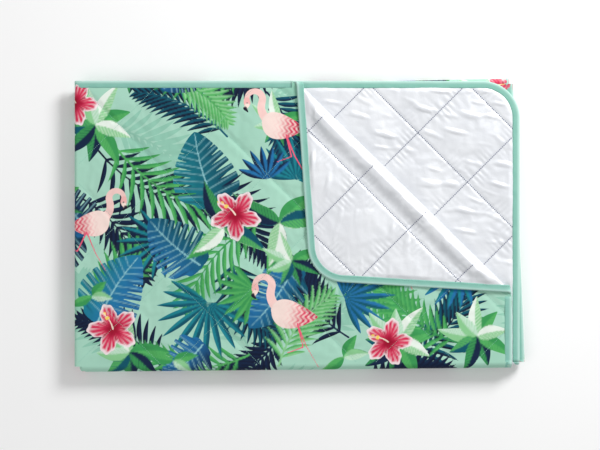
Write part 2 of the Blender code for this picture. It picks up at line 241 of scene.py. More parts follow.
def grown_patch(growth, frames, seed):
    """The shift of every point of a square patch, pinned on its stitch lines and grown between them."""
    u = np.arange(PATCH_COUNT) * PATCH_STEP
    x, y = np.meshgrid(u, u)
    bumps = plain_swelling()[..., 2] * 0.35 + 0.05 * MM * random_waves(x, y, seed)
    on_line = (np.arange(PATCH_COUNT) % PATCH_STEPS) == 0
    held = on_line[:, None] | on_line[None, :]
    bumps[held] = 0
    flat = np.stack([x, y, bumps], axis=-1)
    patch = piece("patch", flat, grid_faces(PATCH_COUNT, PATCH_COUNT), None)
    pins = patch.vertex_groups.new(name="held")
    pins.add([int(n) for n in np.flatnonzero(held.ravel())], 1.0, "REPLACE")
    cloth = patch.modifiers.new("cloth", "CLOTH")
    settings = cloth.settings
    settings.quality = 6
    settings.mass = 0.15
    settings.tension_stiffness = settings.compression_stiffness = 40
    settings.shear_stiffness = 15
    settings.bending_stiffness = 2
    settings.air_damping = 2
    settings.shrink_min = settings.shrink_max = -growth
    settings.vertex_group_mass = "held"
    settings.use_pressure = True
    settings.uniform_pressure_force = 0.5
    settings.effector_weights.gravity = 0
    cloth.point_cache.frame_start, cloth.point_cache.frame_end = 1, frames
    for n in range(1, frames + 1):
        bpy.context.scene.frame_set(n)
    seen = patch.evaluated_get(bpy.context.evaluated_depsgraph_get())
    found = np.zeros(PATCH_COUNT * PATCH_COUNT * 3)
    seen.data.vertices.foreach_get("co", found)
    shift = found.reshape(PATCH_COUNT, PATCH_COUNT, 3) - np.stack([x, y, 0 * x], axis=-1)
    bpy.context.scene.frame_set(1)
    bpy.data.objects.remove(patch, do_unlink=True)
    return np.clip(shift, -PUCKER_LIMIT, PUCKER_LIMIT)


PUCKERS = grown_patch(0.02, 22, 5)
if PUCKERS[..., 2].mean() < 0:
    PUCKERS[..., 2] *= -1
print("puckers", PUCKERS.shape, "mm high:", PUCKERS[..., 2].min() / MM, PUCKERS[..., 2].max() / MM)

# %% [markdown]
# The patch is laid over the blanket with its sides along the two directions of the stitches, 45 degrees to
# the edges. A point between four points of the patch takes their weighted mean, and past the patch's edge it
# starts again at the other side.

# %% Read the patch anywhere
ALONG_U = np.array([1, 1]) / math.sqrt(2)
ALONG_V = np.array([-1, 1]) / math.sqrt(2)
STITCH_U = 22.3 * MM  # a stitch line lies at this distance from the origin, towards the turned corner
STITCH_V = -18.0 * MM  # the same, across it


def stitch_places(plan, shift=(0, 0)):
    """How far each plan point is along u and v, counted from a crossing of stitch lines."""
    return plan @ ALONG_U - STITCH_U - shift[0], plan @ ALONG_V - STITCH_V - shift[1]


def wrapped(table, rows, columns):
    """Values of a table between its points, weighted by nearness, with the table repeated both ways."""
    height, width = table.shape[:2]
    r, c = np.floor(rows).astype(int), np.floor(columns).astype(int)
    fr, fc = (rows - r)[..., None], (columns - c)[..., None]
    r0, r1, c0, c1 = r % height, (r + 1) % height, c % width, (c + 1) % width
    return mix(mix(table[r0, c0], table[r0, c1], fc), mix(table[r1, c0], table[r1, c1], fc), fr)


def puckered(plan, shift=(0, 0)):
    """The patch's height above its stitch lines at plan points, and its shift along u and v."""
    u, v = stitch_places(plan, shift)
    return wrapped(PUCKERS[:-1, :-1], v / PATCH_STEP, u / PATCH_STEP)


def stitch_valley(plan, shift=(0, 0), width=9 * MM):
    """1 on a stitch line, falling to 0 over a width."""
    half = DIAMOND / 2
    to_u, to_v = (np.abs((place + half) % DIAMOND - half) for place in stitch_places(plan, shift))
    return 1 - smooth(np.minimum(to_u, to_v), 0, width)

# %% [markdown]
# ## Materials: expressions instead of wires
# A shader is easier to read as arithmetic. The small class below holds one socket; adding or multiplying two
# of them adds a Math node. Anything else comes from one method that takes a node's type, its settings and
# its inputs.

# %% A socket that does arithmetic
class Value:
    """One output socket of a material's nodes, whose + and *, and their reflected forms, add Math nodes."""

    def __init__(self, maker, socket):
        self.maker, self.socket = maker, socket

    def _math(self, operation, *others):
        return self.maker.node("ShaderNodeMath", {"operation": operation}, dict(enumerate((self, *others))))

    def __add__(self, other):
        return self._math("ADD", other)

    def __mul__(self, other):
        return self._math("MULTIPLY", other)

    __radd__, __rmul__ = __add__, __mul__


class Finish:
    """A material under construction."""

    def __init__(self, name, roughness, metallic=0.0):
        self.material = bpy.data.materials.new(name)
        self.material.use_nodes = True
        self.tree = self.material.node_tree
        self.shader = self.tree.nodes["Principled BSDF"]
        self.shader.inputs["Roughness"].default_value = roughness
        self.shader.inputs["Metallic"].default_value = metallic

    def node(self, kind, settings, inputs, output=0):
        """Adds a node, sets its settings first and then its inputs, and gives one output."""
        made = self.tree.nodes.new(kind)
        for name, value in settings.items():
            setattr(made, name, value)
        for key, value in inputs.items():
            if isinstance(value, Value):
                self.tree.links.new(value.socket, made.inputs[key])
            else:
                made.inputs[key].default_value = value
        return Value(self, made.outputs[output])

    def attribute(self, name, output="Color"):
        return self.node("ShaderNodeAttribute", {"attribute_name": name}, {}, output)

    def object_place(self):
        return self.node("ShaderNodeTexCoord", {}, {}, "Object")

    def noise(self, place, scale, detail=2.0):
        return self.node("ShaderNodeTexNoise", {}, {"Vector": place, "Scale": scale, "Detail": detail})

    def wave(self, direction, place, scale):
        inputs = {"Vector": place, "Scale": scale}
        return self.node("ShaderNodeTexWave", {"bands_direction": direction}, inputs)

    def blended(self, factor, a, b):
        """A colour between two colours, which are inputs 6 and 7 of the node. Its result is output 2."""
        return self.node("ShaderNodeMix", {"data_type": "RGBA"}, {0: factor, 6: a, 7: b}, 2)

    def bump(self, height, strength, distance):
        inputs = {"Height": height, "Strength": strength, "Distance": distance}
        normal = self.node("ShaderNodeBump", {}, inputs)
        self.tree.links.new(normal.socket, self.shader.inputs["Normal"])

    def feed(self, name, value):
        self.tree.links.new(value.socket, self.shader.inputs[name])


def colour(red, green, blue):
    """A screen colour of 0 to 255 as linear light: ((c + 0.055) / 1.055) ^ 2.4 above the toe."""
    c = np.array([red, green, blue]) / 255
    return np.where(c <= 0.04045, c / 12.92, ((c + 0.055) / 1.055) ** 2.4)


def rgba(*levels):
    return (*colour(*levels).tolist(), 1.0)


def weave(finish, thread, strength):
    """A plain weave: two sets of fine waves at right angles, each thread over and under the other."""
    uv = finish.attribute("flat", "Vector")
    scale = 2 * math.pi / (20 * thread)  # this node makes a wave every 2 pi / 20 of its scaled place
    across, along = finish.wave("X", uv, scale), finish.wave("Y", uv, scale)
    patchy = finish.noise(uv, 180.0)
    finish.bump(across * along + patchy * 0.8, strength, 0.0003)
    return patchy

# %% [markdown]
# The print is a thin polyester: a mint ground with leaves, flowers and birds laid over it in five passes of
# colour. Each pass is stored on the cloth as a colour and a distance, in millimetres, inside the outline of
# the nearest shape. The shader turns that distance into a crisp edge, so a motif stays sharp on a coarse
# grid of points.

# %% The printed cloth
PASSES = ("shade", "foliage", "leaves", "blooms", "lines")


def printed_cloth():
    """The mint ground, then each pass over it where its distance says that it covers."""
    finish = Finish("tropical_print", 0.62)
    tone = finish.noise(finish.attribute("flat", "Vector"), 9.0)
    ground = finish.blended(tone, rgba(158, 208, 186), rgba(176, 219, 200))
    for name in PASSES:
        edge = finish.attribute(name, "Alpha") * 1.6 + 0.5
        ground = finish.blended(edge, ground, finish.attribute(name))
    patchy = weave(finish, 0.0009, 0.25)
    finish.feed("Base Color", ground)
    finish.feed("Roughness", patchy * 0.16 + 0.60)
    finish.shader.inputs["Specular IOR Level"].default_value = 0.18
    return finish.material


def silver_film():
    """Aluminised film on cloth: pale and satiny, faintly dull where it has been handled."""
    finish = Finish("silver_film", 0.45, 0.22)
    place = finish.object_place()
    cloudy, fine = finish.noise(place, 14.0), finish.noise(place, 420.0, 3.0)
    finish.feed("Base Color", finish.blended(cloudy, rgba(225, 228, 234), rgba(243, 245, 248)))
    finish.feed("Roughness", cloudy * 0.16 + 0.38)
    finish.bump(fine + finish.noise(place, 110.0) * 1.2, 0.3, 0.0005)
    return finish.material


def binding_tape():
    """Woven mint tape: ribbed across, with a painted highlight along the rounded folded edge where light
    catches it.
    """
    finish = Finish("mint_tape", 0.7)
    # painted highlight: the tape is paler along its rounded fold, where it catches the light
    across = finish.attribute("edge_highlight", "Alpha")
    tone = finish.blended(finish.noise(finish.object_place(), 60.0), rgba(122, 184, 168), rgba(140, 198, 182))
    ribs = finish.wave("X", finish.attribute("flat", "Vector"), 240.0)
    finish.feed("Base Color", finish.blended(across, tone, rgba(178, 218, 207)))
    finish.bump(ribs + finish.noise(finish.object_place(), 700.0), 0.4, 0.0004)
    finish.shader.inputs["Sheen Weight"].default_value = 0.2
    return finish.material


def plain_finish(name, dark, light, roughness, scale):
    """A fibrous finish between two tones, for wadding and thread."""
    finish = Finish(name, roughness)
    grain = finish.noise(finish.object_place(), scale, 4.0)
    finish.feed("Base Color", finish.blended(grain, rgba(*dark), rgba(*light)))
    finish.bump(grain, 0.5, 0.0008)
    return finish.material


PRINT = printed_cloth()
FILM = silver_film()
TAPE = binding_tape()
WADDING = plain_finish("soft_wadding", (226, 226, 220), (244, 243, 240), 0.95, 260.0)
GREY_THREAD = plain_finish("grey_thread", (62, 74, 108), (92, 104, 138), 0.6, 900.0)
MINT_THREAD = plain_finish("mint_thread", (120, 182, 165), (150, 204, 190), 0.6, 900.0)
print("materials", [m.name for m in bpy.data.materials])

# %% [markdown]
# ## The print
# The pattern is drawn once on a fine raster the size of one repeat, and wraps round at its edges so the
# repeats join. Every shape is a formula for the distance inside its outline. The basic stroke is a blade: a
# leaf whose middle line is a shallow arc and whose half width is a power of a half sine wave. Palms, fans
# and leaf rosettes are loops of blades. Distances are in millimetres here, as a textile designer would draw.

# %% The raster and the basic shapes
REPEAT = np.array([750.0, 500.0])
RASTER = 1.25
FARTHEST = 6.0  # distances are kept no further out than this
COUNT_X, COUNT_Y = (int(round(side / RASTER)) for side in REPEAT)
artwork = {name: np.zeros((COUNT_Y, COUNT_X, 4)) for name in PASSES}
for table in artwork.values():
    table[..., 3] = -FARTHEST


class Window:
    """The raster points near a motif, as distances from a centre."""

    def __init__(self, centre, reach):
        first = np.floor((np.array(centre) - reach) / RASTER).astype(int)
        count = int(2 * reach / RASTER) + 3
        columns, rows = first[0] + np.arange(count), first[1] + np.arange(count)
        self.cells = np.ix_(rows % COUNT_Y, columns % COUNT_X)
        self.x, self.y = np.meshgrid(columns * RASTER, rows * RASTER)

    def paint(self, name, inside, tint):
        """Lays a shape over a pass: the larger distance is kept, and the shape's colour where it covers."""
        table = artwork[name][self.cells]
        cover = (inside > 0) | (inside > table[..., 3])
        tint = np.broadcast_to(tint, inside.shape + (3,))
        table[..., :3] = np.where(cover[..., None], tint, table[..., :3])
        table[..., 3] = np.maximum(table[..., 3], np.clip(inside, -FARTHEST, FARTHEST))
        artwork[name][self.cells] = table


def toward(degrees, length=1.0):
    angle = math.radians(degrees)
    return length * np.array([math.cos(angle), math.sin(angle)])


def blade_places(x, y, base, tip, bend):
    """Along 0 to 1 from base to tip, and the distance across from the arc between them."""
    run = np.array(tip) - base
    length = np.hypot(*run)
    px, py = x - base[0], y - base[1]
    along = (px * run[0] + py * run[1]) / length ** 2
    across = (py * run[0] - px * run[1]) / length
    t = np.clip(along, 0, 1)
    return along, t, across - 4 * bend * length * t * (1 - t), length


def blade(name, base, tip, width, tints, bend=0.0, fullness=0.8, ribs=0.0):
    """A pointed leaf. Half width = width / 2 * sin(pi t ^ fullness). tints are its two halves' colours."""
    base = np.array(base, float)
    middle = (base + tip) / 2
    window = Window(middle, np.hypot(*(tip - base)) / 2 * (1 + abs(bend)) + width / 2 + FARTHEST)
    along, t, across, length = blade_places(window.x, window.y, base, tip, bend)
    half = width / 2 * np.sin(math.pi * t ** fullness)
    past = np.abs(along - t) * length
    inside = np.where(past > 0, -np.hypot(past, across), half - np.abs(across))
    shade = smooth(across, -0.6, 0.6)[..., None]
    tint = mix(colour(*tints[0]), colour(*tints[1]), shade)
    if ribs:
        stripe = 0.5 + 0.5 * np.sin((t * length - 0.9 * np.abs(across)) * 2 * math.pi / ribs)
        tint = mix(tint, colour(*tints[-1]), (0.55 * smooth(stripe, 0.6, 1.0))[..., None])
    window.paint(name, inside, tint)


def arc_point(base, tip, bend, t):
    """A point of a blade's middle line, and the heading of the line there, in degrees."""
    run = tip - base
    place = base + run * t + left_of(run) * 4 * bend * t * (1 - t)
    heading = run + left_of(run) * 4 * bend * (1 - 2 * t)
    return place, math.degrees(math.atan2(heading[1], heading[0]))


def stroke(name, points, widths, tint):
    """A soft line through points whose width changes along it, as a chain of tapered rods."""
    points = np.array(points, float)
    middle = (points.min(0) + points.max(0)) / 2
    window = Window(middle, np.ptp(points, axis=0).max() / 2 + max(widths) + FARTHEST)
    inside = np.full(window.x.shape, -FARTHEST)
    for a, b, wa, wb in zip(points[:-1], points[1:], widths[:-1], widths[1:]):
        along, t, across, length = blade_places(window.x, window.y, a, b, 0.0)
        inside = np.maximum(inside, mix(wa, wb, t) / 2 - np.hypot(across, (along - t) * length))
    window.paint(name, inside, colour(*tint))


def curve_points(start, heading, turn, length, count):
    """Points along a line that leaves at a heading and turns evenly by so many degrees over its length."""
    points = [np.array(start, float)]
    for n in range(count):
        points.append(points[-1] + toward(heading + turn * (n + 0.5) / count, length / count))
    return points

# %% [markdown]
# Now the plants. A palm frond has leaflets down both sides of an arched rib, longest in the middle. A fan
# palm spreads them from one point. A split leaf is a heart-shaped blade with pointed cuts from its edge. A
# rosette is a whorl of broad leaves, and a hibiscus has five ruffled petals and a long stamen.

# %% Leaves
def palm_frond(name, base, tip, leaflet, pairs, tints, bend, width):
    """Pairs of blades down an arched rib. Their length follows sin(pi (0.18 + 0.74 t)) ^ 0.8."""
    base, tip = np.array(base, float), np.array(tip, float)
    for n in range(pairs):
        t = 0.10 + 0.88 * n / (pairs - 1)
        place, heading = arc_point(base, tip, bend, t)
        length = leaflet * math.sin(math.pi * (0.18 + 0.74 * t)) ** 0.8
        for side in (1, -1):
            end = place + toward(heading + side * (62 - 34 * t), length)
            blade(name, place, end, width * (0.6 + 0.4 * length / leaflet), tints, -0.06 * side, 0.75)
    rib = [arc_point(base, tip, bend, t)[0] for t in np.linspace(0, 1, 9)]
    stroke(name, rib, np.linspace(3.5, 1.2, 9), tints[0])


def fan_palm(name, centre, heading, radius, spread, count, tints):
    """Blades spread from one point, the longest in the middle."""
    for n in range(count):
        angle = heading + spread * (n / (count - 1) - 0.5)
        length = radius * (0.78 + 0.22 * math.cos(math.radians(angle - heading)))
        blade(name, centre, np.array(centre) + toward(angle, length), 11.0, tints, 0.0, 1.15)


def split_leaf(name, base, tip, width, tints, vein):
    """A heart-shaped leaf with pointed cuts: the distance inside the blade, less that inside each cut."""
    base, tip = np.array(base, float), np.array(tip, float)
    window = Window((base + tip) / 2, np.hypot(*(tip - base)) / 2 + width / 2 + FARTHEST)
    along, t, across, length = blade_places(window.x, window.y, base, tip, 0.04)
    swell = np.clip(along + 0.16, 0, 1.16) / 1.16
    half = width / 2 * np.sin(math.pi * swell ** 0.62) ** 0.7 - 10 * np.exp(-((along + 0.05) / 0.06) ** 2)
    out = np.abs(across)
    inside = np.minimum(half - out, np.minimum(along + 0.16, 1.0 - along) * length)
    veins = np.full(inside.shape, -FARTHEST)
    for n in range(8):
        root = 0.02 + 0.108 * n
        lean = out * (0.22 + 0.07 * n) / length
        reach = smooth(out / (width / 2), 0.2, 1.0)
        cut = (0.8 + 5.5 * reach) * 0.5 - np.abs(along - root - 0.05 - lean) * length
        cut = np.minimum(cut, out - width * (0.13 if n % 2 else 0.2))
        inside = np.minimum(inside, -cut)
        veins = np.maximum(veins, 0.7 - np.abs(along - root - lean * 0.97) * length)
    light = mix(colour(*tints[0]), colour(*tints[1]), smooth(across, -width / 3, width / 2)[..., None])
    dark = 0.55 * smooth(np.sin(along * 58 - out / 7), 0.5, 1.0) * smooth(out / width, 0.05, 0.3)
    light = mix(light, colour(*INK), dark[..., None])
    window.paint(name, inside, mix(light, colour(*vein), (0.6 * smooth(veins, -0.8, 0.4))[..., None]))
    stem = [arc_point(base, tip, 0.04, s)[0] for s in np.linspace(-0.1, 0.96, 6)]
    stroke(name, stem, np.linspace(2.6, 1.0, 6), vein)


def rosette(name, centre, radius, count, turn, tints, width):
    """A whorl of broad leaves, alternate ones shorter, drawn from the back to the front."""
    for n in range(count):
        angle = turn + 360 * n * 3 / count + 360 * (3 * n // count) / count
        length = radius * (1.0 if n % 2 else 0.8)
        tip = np.array(centre) + toward(angle, length)
        blade(name, centre, tip, radius * width, tints[n % len(tints)], 0.05, 0.72, 6.0)

# %% [markdown]
# The flowers and birds lie over the leaves. A stroke is a soft line whose width changes along it, which
# makes a stamen, a neck, a beak or a leg.

# %% Flowers and birds
ROSE, DEEP, BLUSH, CORAL = (214, 36, 82), (158, 8, 44), (243, 226, 229), (238, 92, 122)


def hibiscus(centre, radius, turn):
    """Five pointed petals: edge = radius * (1 - 0.5 |a|^1.5), a from -1 to 1 across each, plus a ruffle."""
    window = Window(centre, radius * 1.1 + FARTHEST)
    x, y = window.x - centre[0], window.y - centre[1]
    away, angle = np.hypot(x, y), np.degrees(np.arctan2(y, x)) - turn
    within = (angle % 72 - 36) / 36
    edge = radius * (1 - 0.5 * np.abs(within) ** 1.5 + 0.03 * np.sin(np.radians(angle) * 20))
    part = away / edge
    streak = 0.5 + 0.5 * np.cos(within * 16)
    red = mix(colour(*DEEP), colour(*ROSE), smooth(part, 0.1, 0.55)[..., None])
    red = mix(red, colour(*BLUSH), (smooth(streak, 0.5, 1.0) * smooth(part, 0.28, 0.85) * 0.75)[..., None])
    red = mix(red, colour(*DEEP), (smooth(np.abs(within), 0.8, 0.98) * smooth(part, 0.1, 0.3))[..., None])
    red = mix(red, colour(*BLUSH), smooth(part, 0.84, 0.93)[..., None])
    window.paint("blooms", (edge - away) * 0.8, red)
    stamen = curve_points(centre, turn + 100, 50, radius * 0.78, 8)
    stroke("lines", stamen, np.linspace(3.0, 2.0, 9), (250, 222, 205))
    for n in range(9):
        side = toward(turn + 100 + 47 * n, 3.4)
        spot = stamen[4 + n // 2] + side
        stroke("lines", [spot, spot + toward(turn, 0.5)], (2.8, 2.8), (246, 214, 96))


def wading_bird(breast, size, faces):
    """A long-necked pink wading bird: a blade body with scalloped feathers, a rod neck and thin legs."""
    breast = np.array(breast, float)
    tail = breast + np.array([-faces * 0.95, -0.16]) * size
    middle = (breast + tail) / 2
    window = Window(middle, size * 0.8)
    along, t, across, length = blade_places(window.x, window.y, breast, tail, 0.05 * faces)
    half = size * 0.29 * np.sin(math.pi * np.clip(t, 0, 1) ** 0.62) ** 0.8
    inside = np.where(np.abs(along - t) > 0, -np.hypot((along - t) * length, across), half - np.abs(across))
    rows = np.abs((t * 9 + 0.35 * np.cos(across / size * 38)) % 1 - 0.5)
    feather = (smooth(rows, 0.3, 0.5) * smooth(t, 0.15, 0.8))[..., None]
    tint = mix(colour(246, 222, 214), colour(*CORAL), feather)
    tint = mix(tint, colour(*ROSE), (smooth(t, 0.35, 0.75) * smooth(rows, 0.02, 0.34))[..., None])
    root = breast + np.array([-faces * 0.10, 0.05]) * size
    rise = curve_points(root, 90 - faces * 50, faces * 70, size * 0.42, 6)
    neck = rise + curve_points(rise[-1], 90 + faces * 20, -faces * 205, size * 0.62, 12)[1:]
    stroke("blooms", neck, np.linspace(size * 0.19, size * 0.10, len(neck)), (247, 206, 200))
    window.paint("blooms", inside, tint)
    head, heading = neck[-1], -90 - faces * 5
    crown = head + toward(heading, size * 0.07)
    stroke("blooms", [head, crown], (size * 0.13, size * 0.15), (244, 184, 180))
    beak = crown + toward(heading + faces * 25, size * 0.13)
    stroke("lines", [crown + toward(heading, size * 0.05), beak], (size * 0.10, size * 0.08), (250, 226, 214))
    hook = beak + toward(heading - faces * 35, size * 0.11)
    stroke("lines", [beak, hook], (size * 0.085, 1.4), (24, 22, 40))
    stroke("lines", [crown, crown + toward(heading, 0.4)], (2.4, 2.4), (24, 22, 40))
    for lean, bent in ((-68, 0), (-96, 1)):
        hip = mix(breast, tail, 0.55) + np.array([0, -0.2]) * size
        knee = hip + toward(lean - 20 * faces * bent, size * 0.5)
        foot = knee + (toward(lean + 8, size * 0.5) if not bent else toward(160 * faces, size * 0.34))
        stroke("lines", [hip, knee, foot], (2.6, 2.2, 1.8), CORAL)

# %% [markdown]
# ## Composing the repeat
# The layout is loose and mixed in scale, as printed holiday cloth is: dark fronds at the back, blue-green
# split leaves and fans over them, fresh green whorls in front, and the flowers and birds last. A place is in
# millimetres from the front left corner of the repeat.

# %% Lay out the motifs
NAVY, INK, TEAL, DEEP_TEAL = (12, 34, 66), (8, 20, 48), (22, 128, 142), (4, 84, 104)
BLUE, GREEN, LEAF, LIME = (32, 112, 168), (58, 152, 84), (84, 176, 96), (140, 204, 146)
PALE, WHITE = (196, 228, 206), (232, 242, 232)
SHADOW = (146, 200, 178)

for base, tip, bend in (
    ((60, 420), (200, 330), 0.1), ((300, 40), (180, 150), -0.1), ((420, 60), (560, 150), 0.12),
    ((640, 420), (520, 330), -0.1), ((90, 40), (10, 160), 0.1), ((330, 480), (440, 420), 0.1),
):
    palm_frond("shade", base, tip, 72, 13, (SHADOW, SHADOW), bend, 10)

for base, tip, size, bend, tints in (
    ((36, 386), (262, 292), 84, -0.14, (INK, NAVY)),
    ((180, 330), (330, 196), 78, 0.12, (NAVY, INK)),
    ((330, 480), (372, 350), 70, 0.12, (NAVY, DEEP_TEAL)),
    ((262, 404), (110, 480), 62, -0.1, (DEEP_TEAL, INK)),
    ((470, 60), (380, 190), 72, 0.12, (NAVY, INK)),
    ((560, 20), (676, 150), 74, -0.12, (INK, DEEP_TEAL)),
    ((700, 330), (560, 400), 72, 0.1, (NAVY, INK)),
    ((10, 300), (120, 160), 66, 0.1, (INK, NAVY)),
    ((620, 240), (736, 300), 66, -0.1, (DEEP_TEAL, NAVY)),
    ((150, 10), (10, 90), 62, -0.1, (NAVY, INK)),
    ((350, 60), (240, -20), 56, 0.1, (NAVY, INK)),
    ((500, 470), (640, 500), 62, 0.1, (INK, NAVY)),
    ((270, 200), (340, 60), 66, -0.1, (DEEP_TEAL, INK)),
):
    palm_frond("foliage", base, tip, size, 14, tints, bend, 8.5)
for base, tip, size, bend, tints in (
    ((60, 400), (262, 270), 78, -0.1, (LEAF, GREEN)),
    ((330, 268), (190, 110), 70, -0.1, (GREEN, LEAF)),
    ((300, 30), (110, 40), 60, 0.14, (LEAF, GREEN)),
    ((430, 170), (580, 70), 72, 0.12, (LEAF, GREEN)),
    ((660, 50), (530, 150), 64, 0.1, (GREEN, LEAF)),
    ((40, 120), (170, 230), 62, 0.1, (LEAF, GREEN)),
    ((560, 290), (710, 390), 70, -0.1, (LEAF, GREEN)),
    ((350, 10), (440, 130), 62, 0.1, (LIME, LEAF)),
    ((170, 500), (262, 430), 50, 0.1, (LEAF, LIME)),
    ((400, 300), (520, 420), 64, 0.1, (GREEN, LEAF)),
):
    palm_frond("foliage", base, tip, size, 13, tints, bend, 7.5)

for centre, heading, radius, spread, count, tints in (
    ((230, 120), 250, 104, 200, 13, (TEAL, DEEP_TEAL)),
    ((150, 226), 200, 80, 150, 9, (TEAL, NAVY)),
    ((462, 128), 20, 88, 170, 11, (DEEP_TEAL, BLUE)),
    ((664, 180), 200, 84, 170, 11, (TEAL, BLUE)),
    ((380, 330), 80, 84, 180, 11, (TEAL, DEEP_TEAL)),
    ((600, 440), 250, 80, 180, 11, (LEAF, TEAL)),
    ((310, 140), 200, 70, 140, 9, (GREEN, LEAF)),
    ((330, 330), 100, 60, 120, 7, (BLUE, NAVY)),
):
    fan_palm("foliage", centre, heading, radius, spread, count, tints)

for base, tip, width, tints in (
    ((236, 300), (206, 412), 112, (DEEP_TEAL, TEAL)),
    ((46, 100), (112, 200), 112, (BLUE, TEAL)),
    ((206, 190), (128, 262), 100, (DEEP_TEAL, BLUE)),
    ((214, 40), (150, -16), 84, (BLUE, NAVY)),
    ((540, 200), (466, 286), 94, (DEEP_TEAL, BLUE)),
    ((710, 400), (630, 480), 100, (TEAL, DEEP_TEAL)),
    ((372, 170), (300, 76), 88, (BLUE, DEEP_TEAL)),
    ((744, 240), (676, 150), 84, (DEEP_TEAL, NAVY)),
    ((16, 250), (-34, 330), 84, (NAVY, BLUE)),
):
    split_leaf("leaves", base, tip, width, tints, (150, 208, 214))

FRESH = ((LEAF, GREEN), (PALE, LIME), (GREEN, NAVY), (LIME, WHITE), (LEAF, DEEP_TEAL))
for centre, radius, count, turn, width in (
    ((36, 424), 82, 9, 20, 0.32), ((256, 250), 86, 10, 5, 0.32), ((352, 256), 96, 10, 40, 0.32),
    ((94, 34), 72, 8, 0, 0.34), ((556, 52), 74, 9, 15, 0.34),
    ((690, 62), 70, 9, 50, 0.34), ((372, 190), 56, 8, 20, 0.32), ((620, 340), 80, 9, 10, 0.34),
    ((500, 400), 74, 9, 33, 0.32), ((170, 20), 54, 7, 12, 0.34), ((462, 26), 56, 7, 60, 0.34),
    ((350, 430), 56, 8, 12, 0.32), ((708, 288), 60, 8, 30, 0.34), ((30, 130), 46, 7, 45, 0.36),
):
    rosette("leaves", centre, radius, count, turn, FRESH, width)

for centre, radius, turn in (
    ((276, 270), 45, 20), ((66, 74), 45, 0), ((538, 52), 42, 40),
    ((646, 330), 44, 10), ((448, 430), 42, 60), ((2, 462), 40, 30),
):
    hibiscus(np.array(centre, float), radius, turn)
for breast, size, faces in (
    ((322, 430), 78, -1), ((60, 262), 74, 1), ((338, 108), 84, -1), ((586, 232), 76, 1),
):
    wading_bird(breast, size, faces)
print("artwork", {name: round(float((table[..., 3] > 0).mean()), 3) for name, table in artwork.items()})


def print_values(flat):
    """Flat places of the cloth, in metres from the repeat's front left corner, and the five passes there."""
    at = flat / MM / RASTER
    passes = {name: wrapped(table, at[..., 1], at[..., 0]) for name, table in artwork.items()}
    return {"flat": flat, **passes}

# %% [markdown]
# ## Panels of cloth
# One layer of the blanket, seen from above, is a sheet between its left roll and its right edge. Rows of
# points run from left to right, and each row ends on the right edge, on the crease, or on a rounded corner.
# Half way round the left roll the same cloth becomes the layer below, so a folded third is two panels that
# share a line.

# %% Rows between two edges
def spread(start, stop, step):
    """Even values between two ends, about a step apart."""
    return np.linspace(start, stop, max(2, int(round(abs(stop - start) / step)) + 1))


def panel_plan(left, front, back, right_points, rows, columns, corner=None):
    """Plan points of a panel. Rows are evenly spaced between the front and back lines at their own slant.

    A rounded corner squeezes the square of cloth at the corner into a quarter disc:
    x' = x sqrt(1 - y^2 / 2), y' = y sqrt(1 - x^2 / 2), as shares of the radius.
    """
    share = np.linspace(0, 1, rows)[:, None]
    low_left, high_left = meet(left, front), meet(left, back)
    start = mix(low_left, high_left, share)
    right = np.array(right_points)
    breaks = (right[:, 1] - right[0, 1]) / (right[-1, 1] - right[0, 1])
    end = np.stack([np.interp(share[:, 0], breaks, right[:, n]) for n in range(2)], axis=-1)
    plan = mix(start[:, None, :], end[:, None, :], np.asarray(columns)[None, :, None])
    if corner is not None:
        place, inward_x, inward_y, radius = corner
        x = radius - (plan[..., 0] - place[0]) * inward_x
        y = radius - (plan[..., 1] - place[1]) * inward_y
        near = (x > 0) & (y > 0)
        a, b = np.clip(x / radius, 0, 1), np.clip(y / radius, 0, 1)
        squeezed = a * np.sqrt(1 - b * b / 2), b * np.sqrt(1 - a * a / 2)
        for n, inward in enumerate((inward_x, inward_y)):
            round_place = place[n] + inward * radius * (1 - squeezed[n])
            plan[..., n] = np.where(near, round_place, plan[..., n])
    return plan


def edge_distance(plan, edges, corner=None):
    """How far plan points lie inside the nearest of the bound edges."""
    found = np.full(plan.shape[:-1], 1.0)
    for edge in edges:
        found = np.minimum(found, inwards_from(edge, plan))
    if corner is not None:
        place, inward_x, inward_y, radius = corner
        centre = place + radius * np.array([inward_x, inward_y])
        x, y = (centre[0] - plan[..., 0]) * inward_x, (centre[1] - plan[..., 1]) * inward_y
        found = np.where((x > 0) & (y > 0), np.minimum(found, radius - np.hypot(x, y)), found)
    return found

# %% [markdown]
# The blanket is one cloth, so its print runs on round every fold. Laid flat, the left roll mirrors x, the
# front and back folds mirror y, and each fold takes up a little cloth on its way round. These functions say
# which flat place of the print lies at a plan place of a layer.

# %% Flat places on the print
FLAT_FRONT_LEFT = np.array([LEFT_X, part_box("face_front_outer_fold")[0].y])
HALF_ROLL = math.pi * SKIN


def flat_place(third, lower, plan):
    """Plan place to flat place: x turns back at the left roll, and y at each fold the third lies beyond."""
    x, y = plan[..., 0] - FLAT_FRONT_LEFT[0], plan[..., 1] - FLAT_FRONT_LEFT[1]
    if lower:
        x = -x - HALF_ROLL
    if third == "middle":
        y = -y - math.pi * WRAP
    if third == "bottom":
        y = y - 2 * (BACK_Y - FLAT_FRONT_LEFT[1]) - 2 * math.pi * WRAP
    return np.stack([x, y], axis=-1)


def cloth_values(third, lower, plan):
    """The print's values at plan places of a layer."""
    return print_values(flat_place(third, lower, plan))

# %% [markdown]
# ### The printed cloth of the three thirds
# Each upper panel carries the left roll with it, down to the layer below. The outside of the cloth stays at
# its place in the frame; the quilting only presses it in along the stitches, so that touching layers stay
# clear of each other. The top layer is free above, so it also swells a little between the stitches.

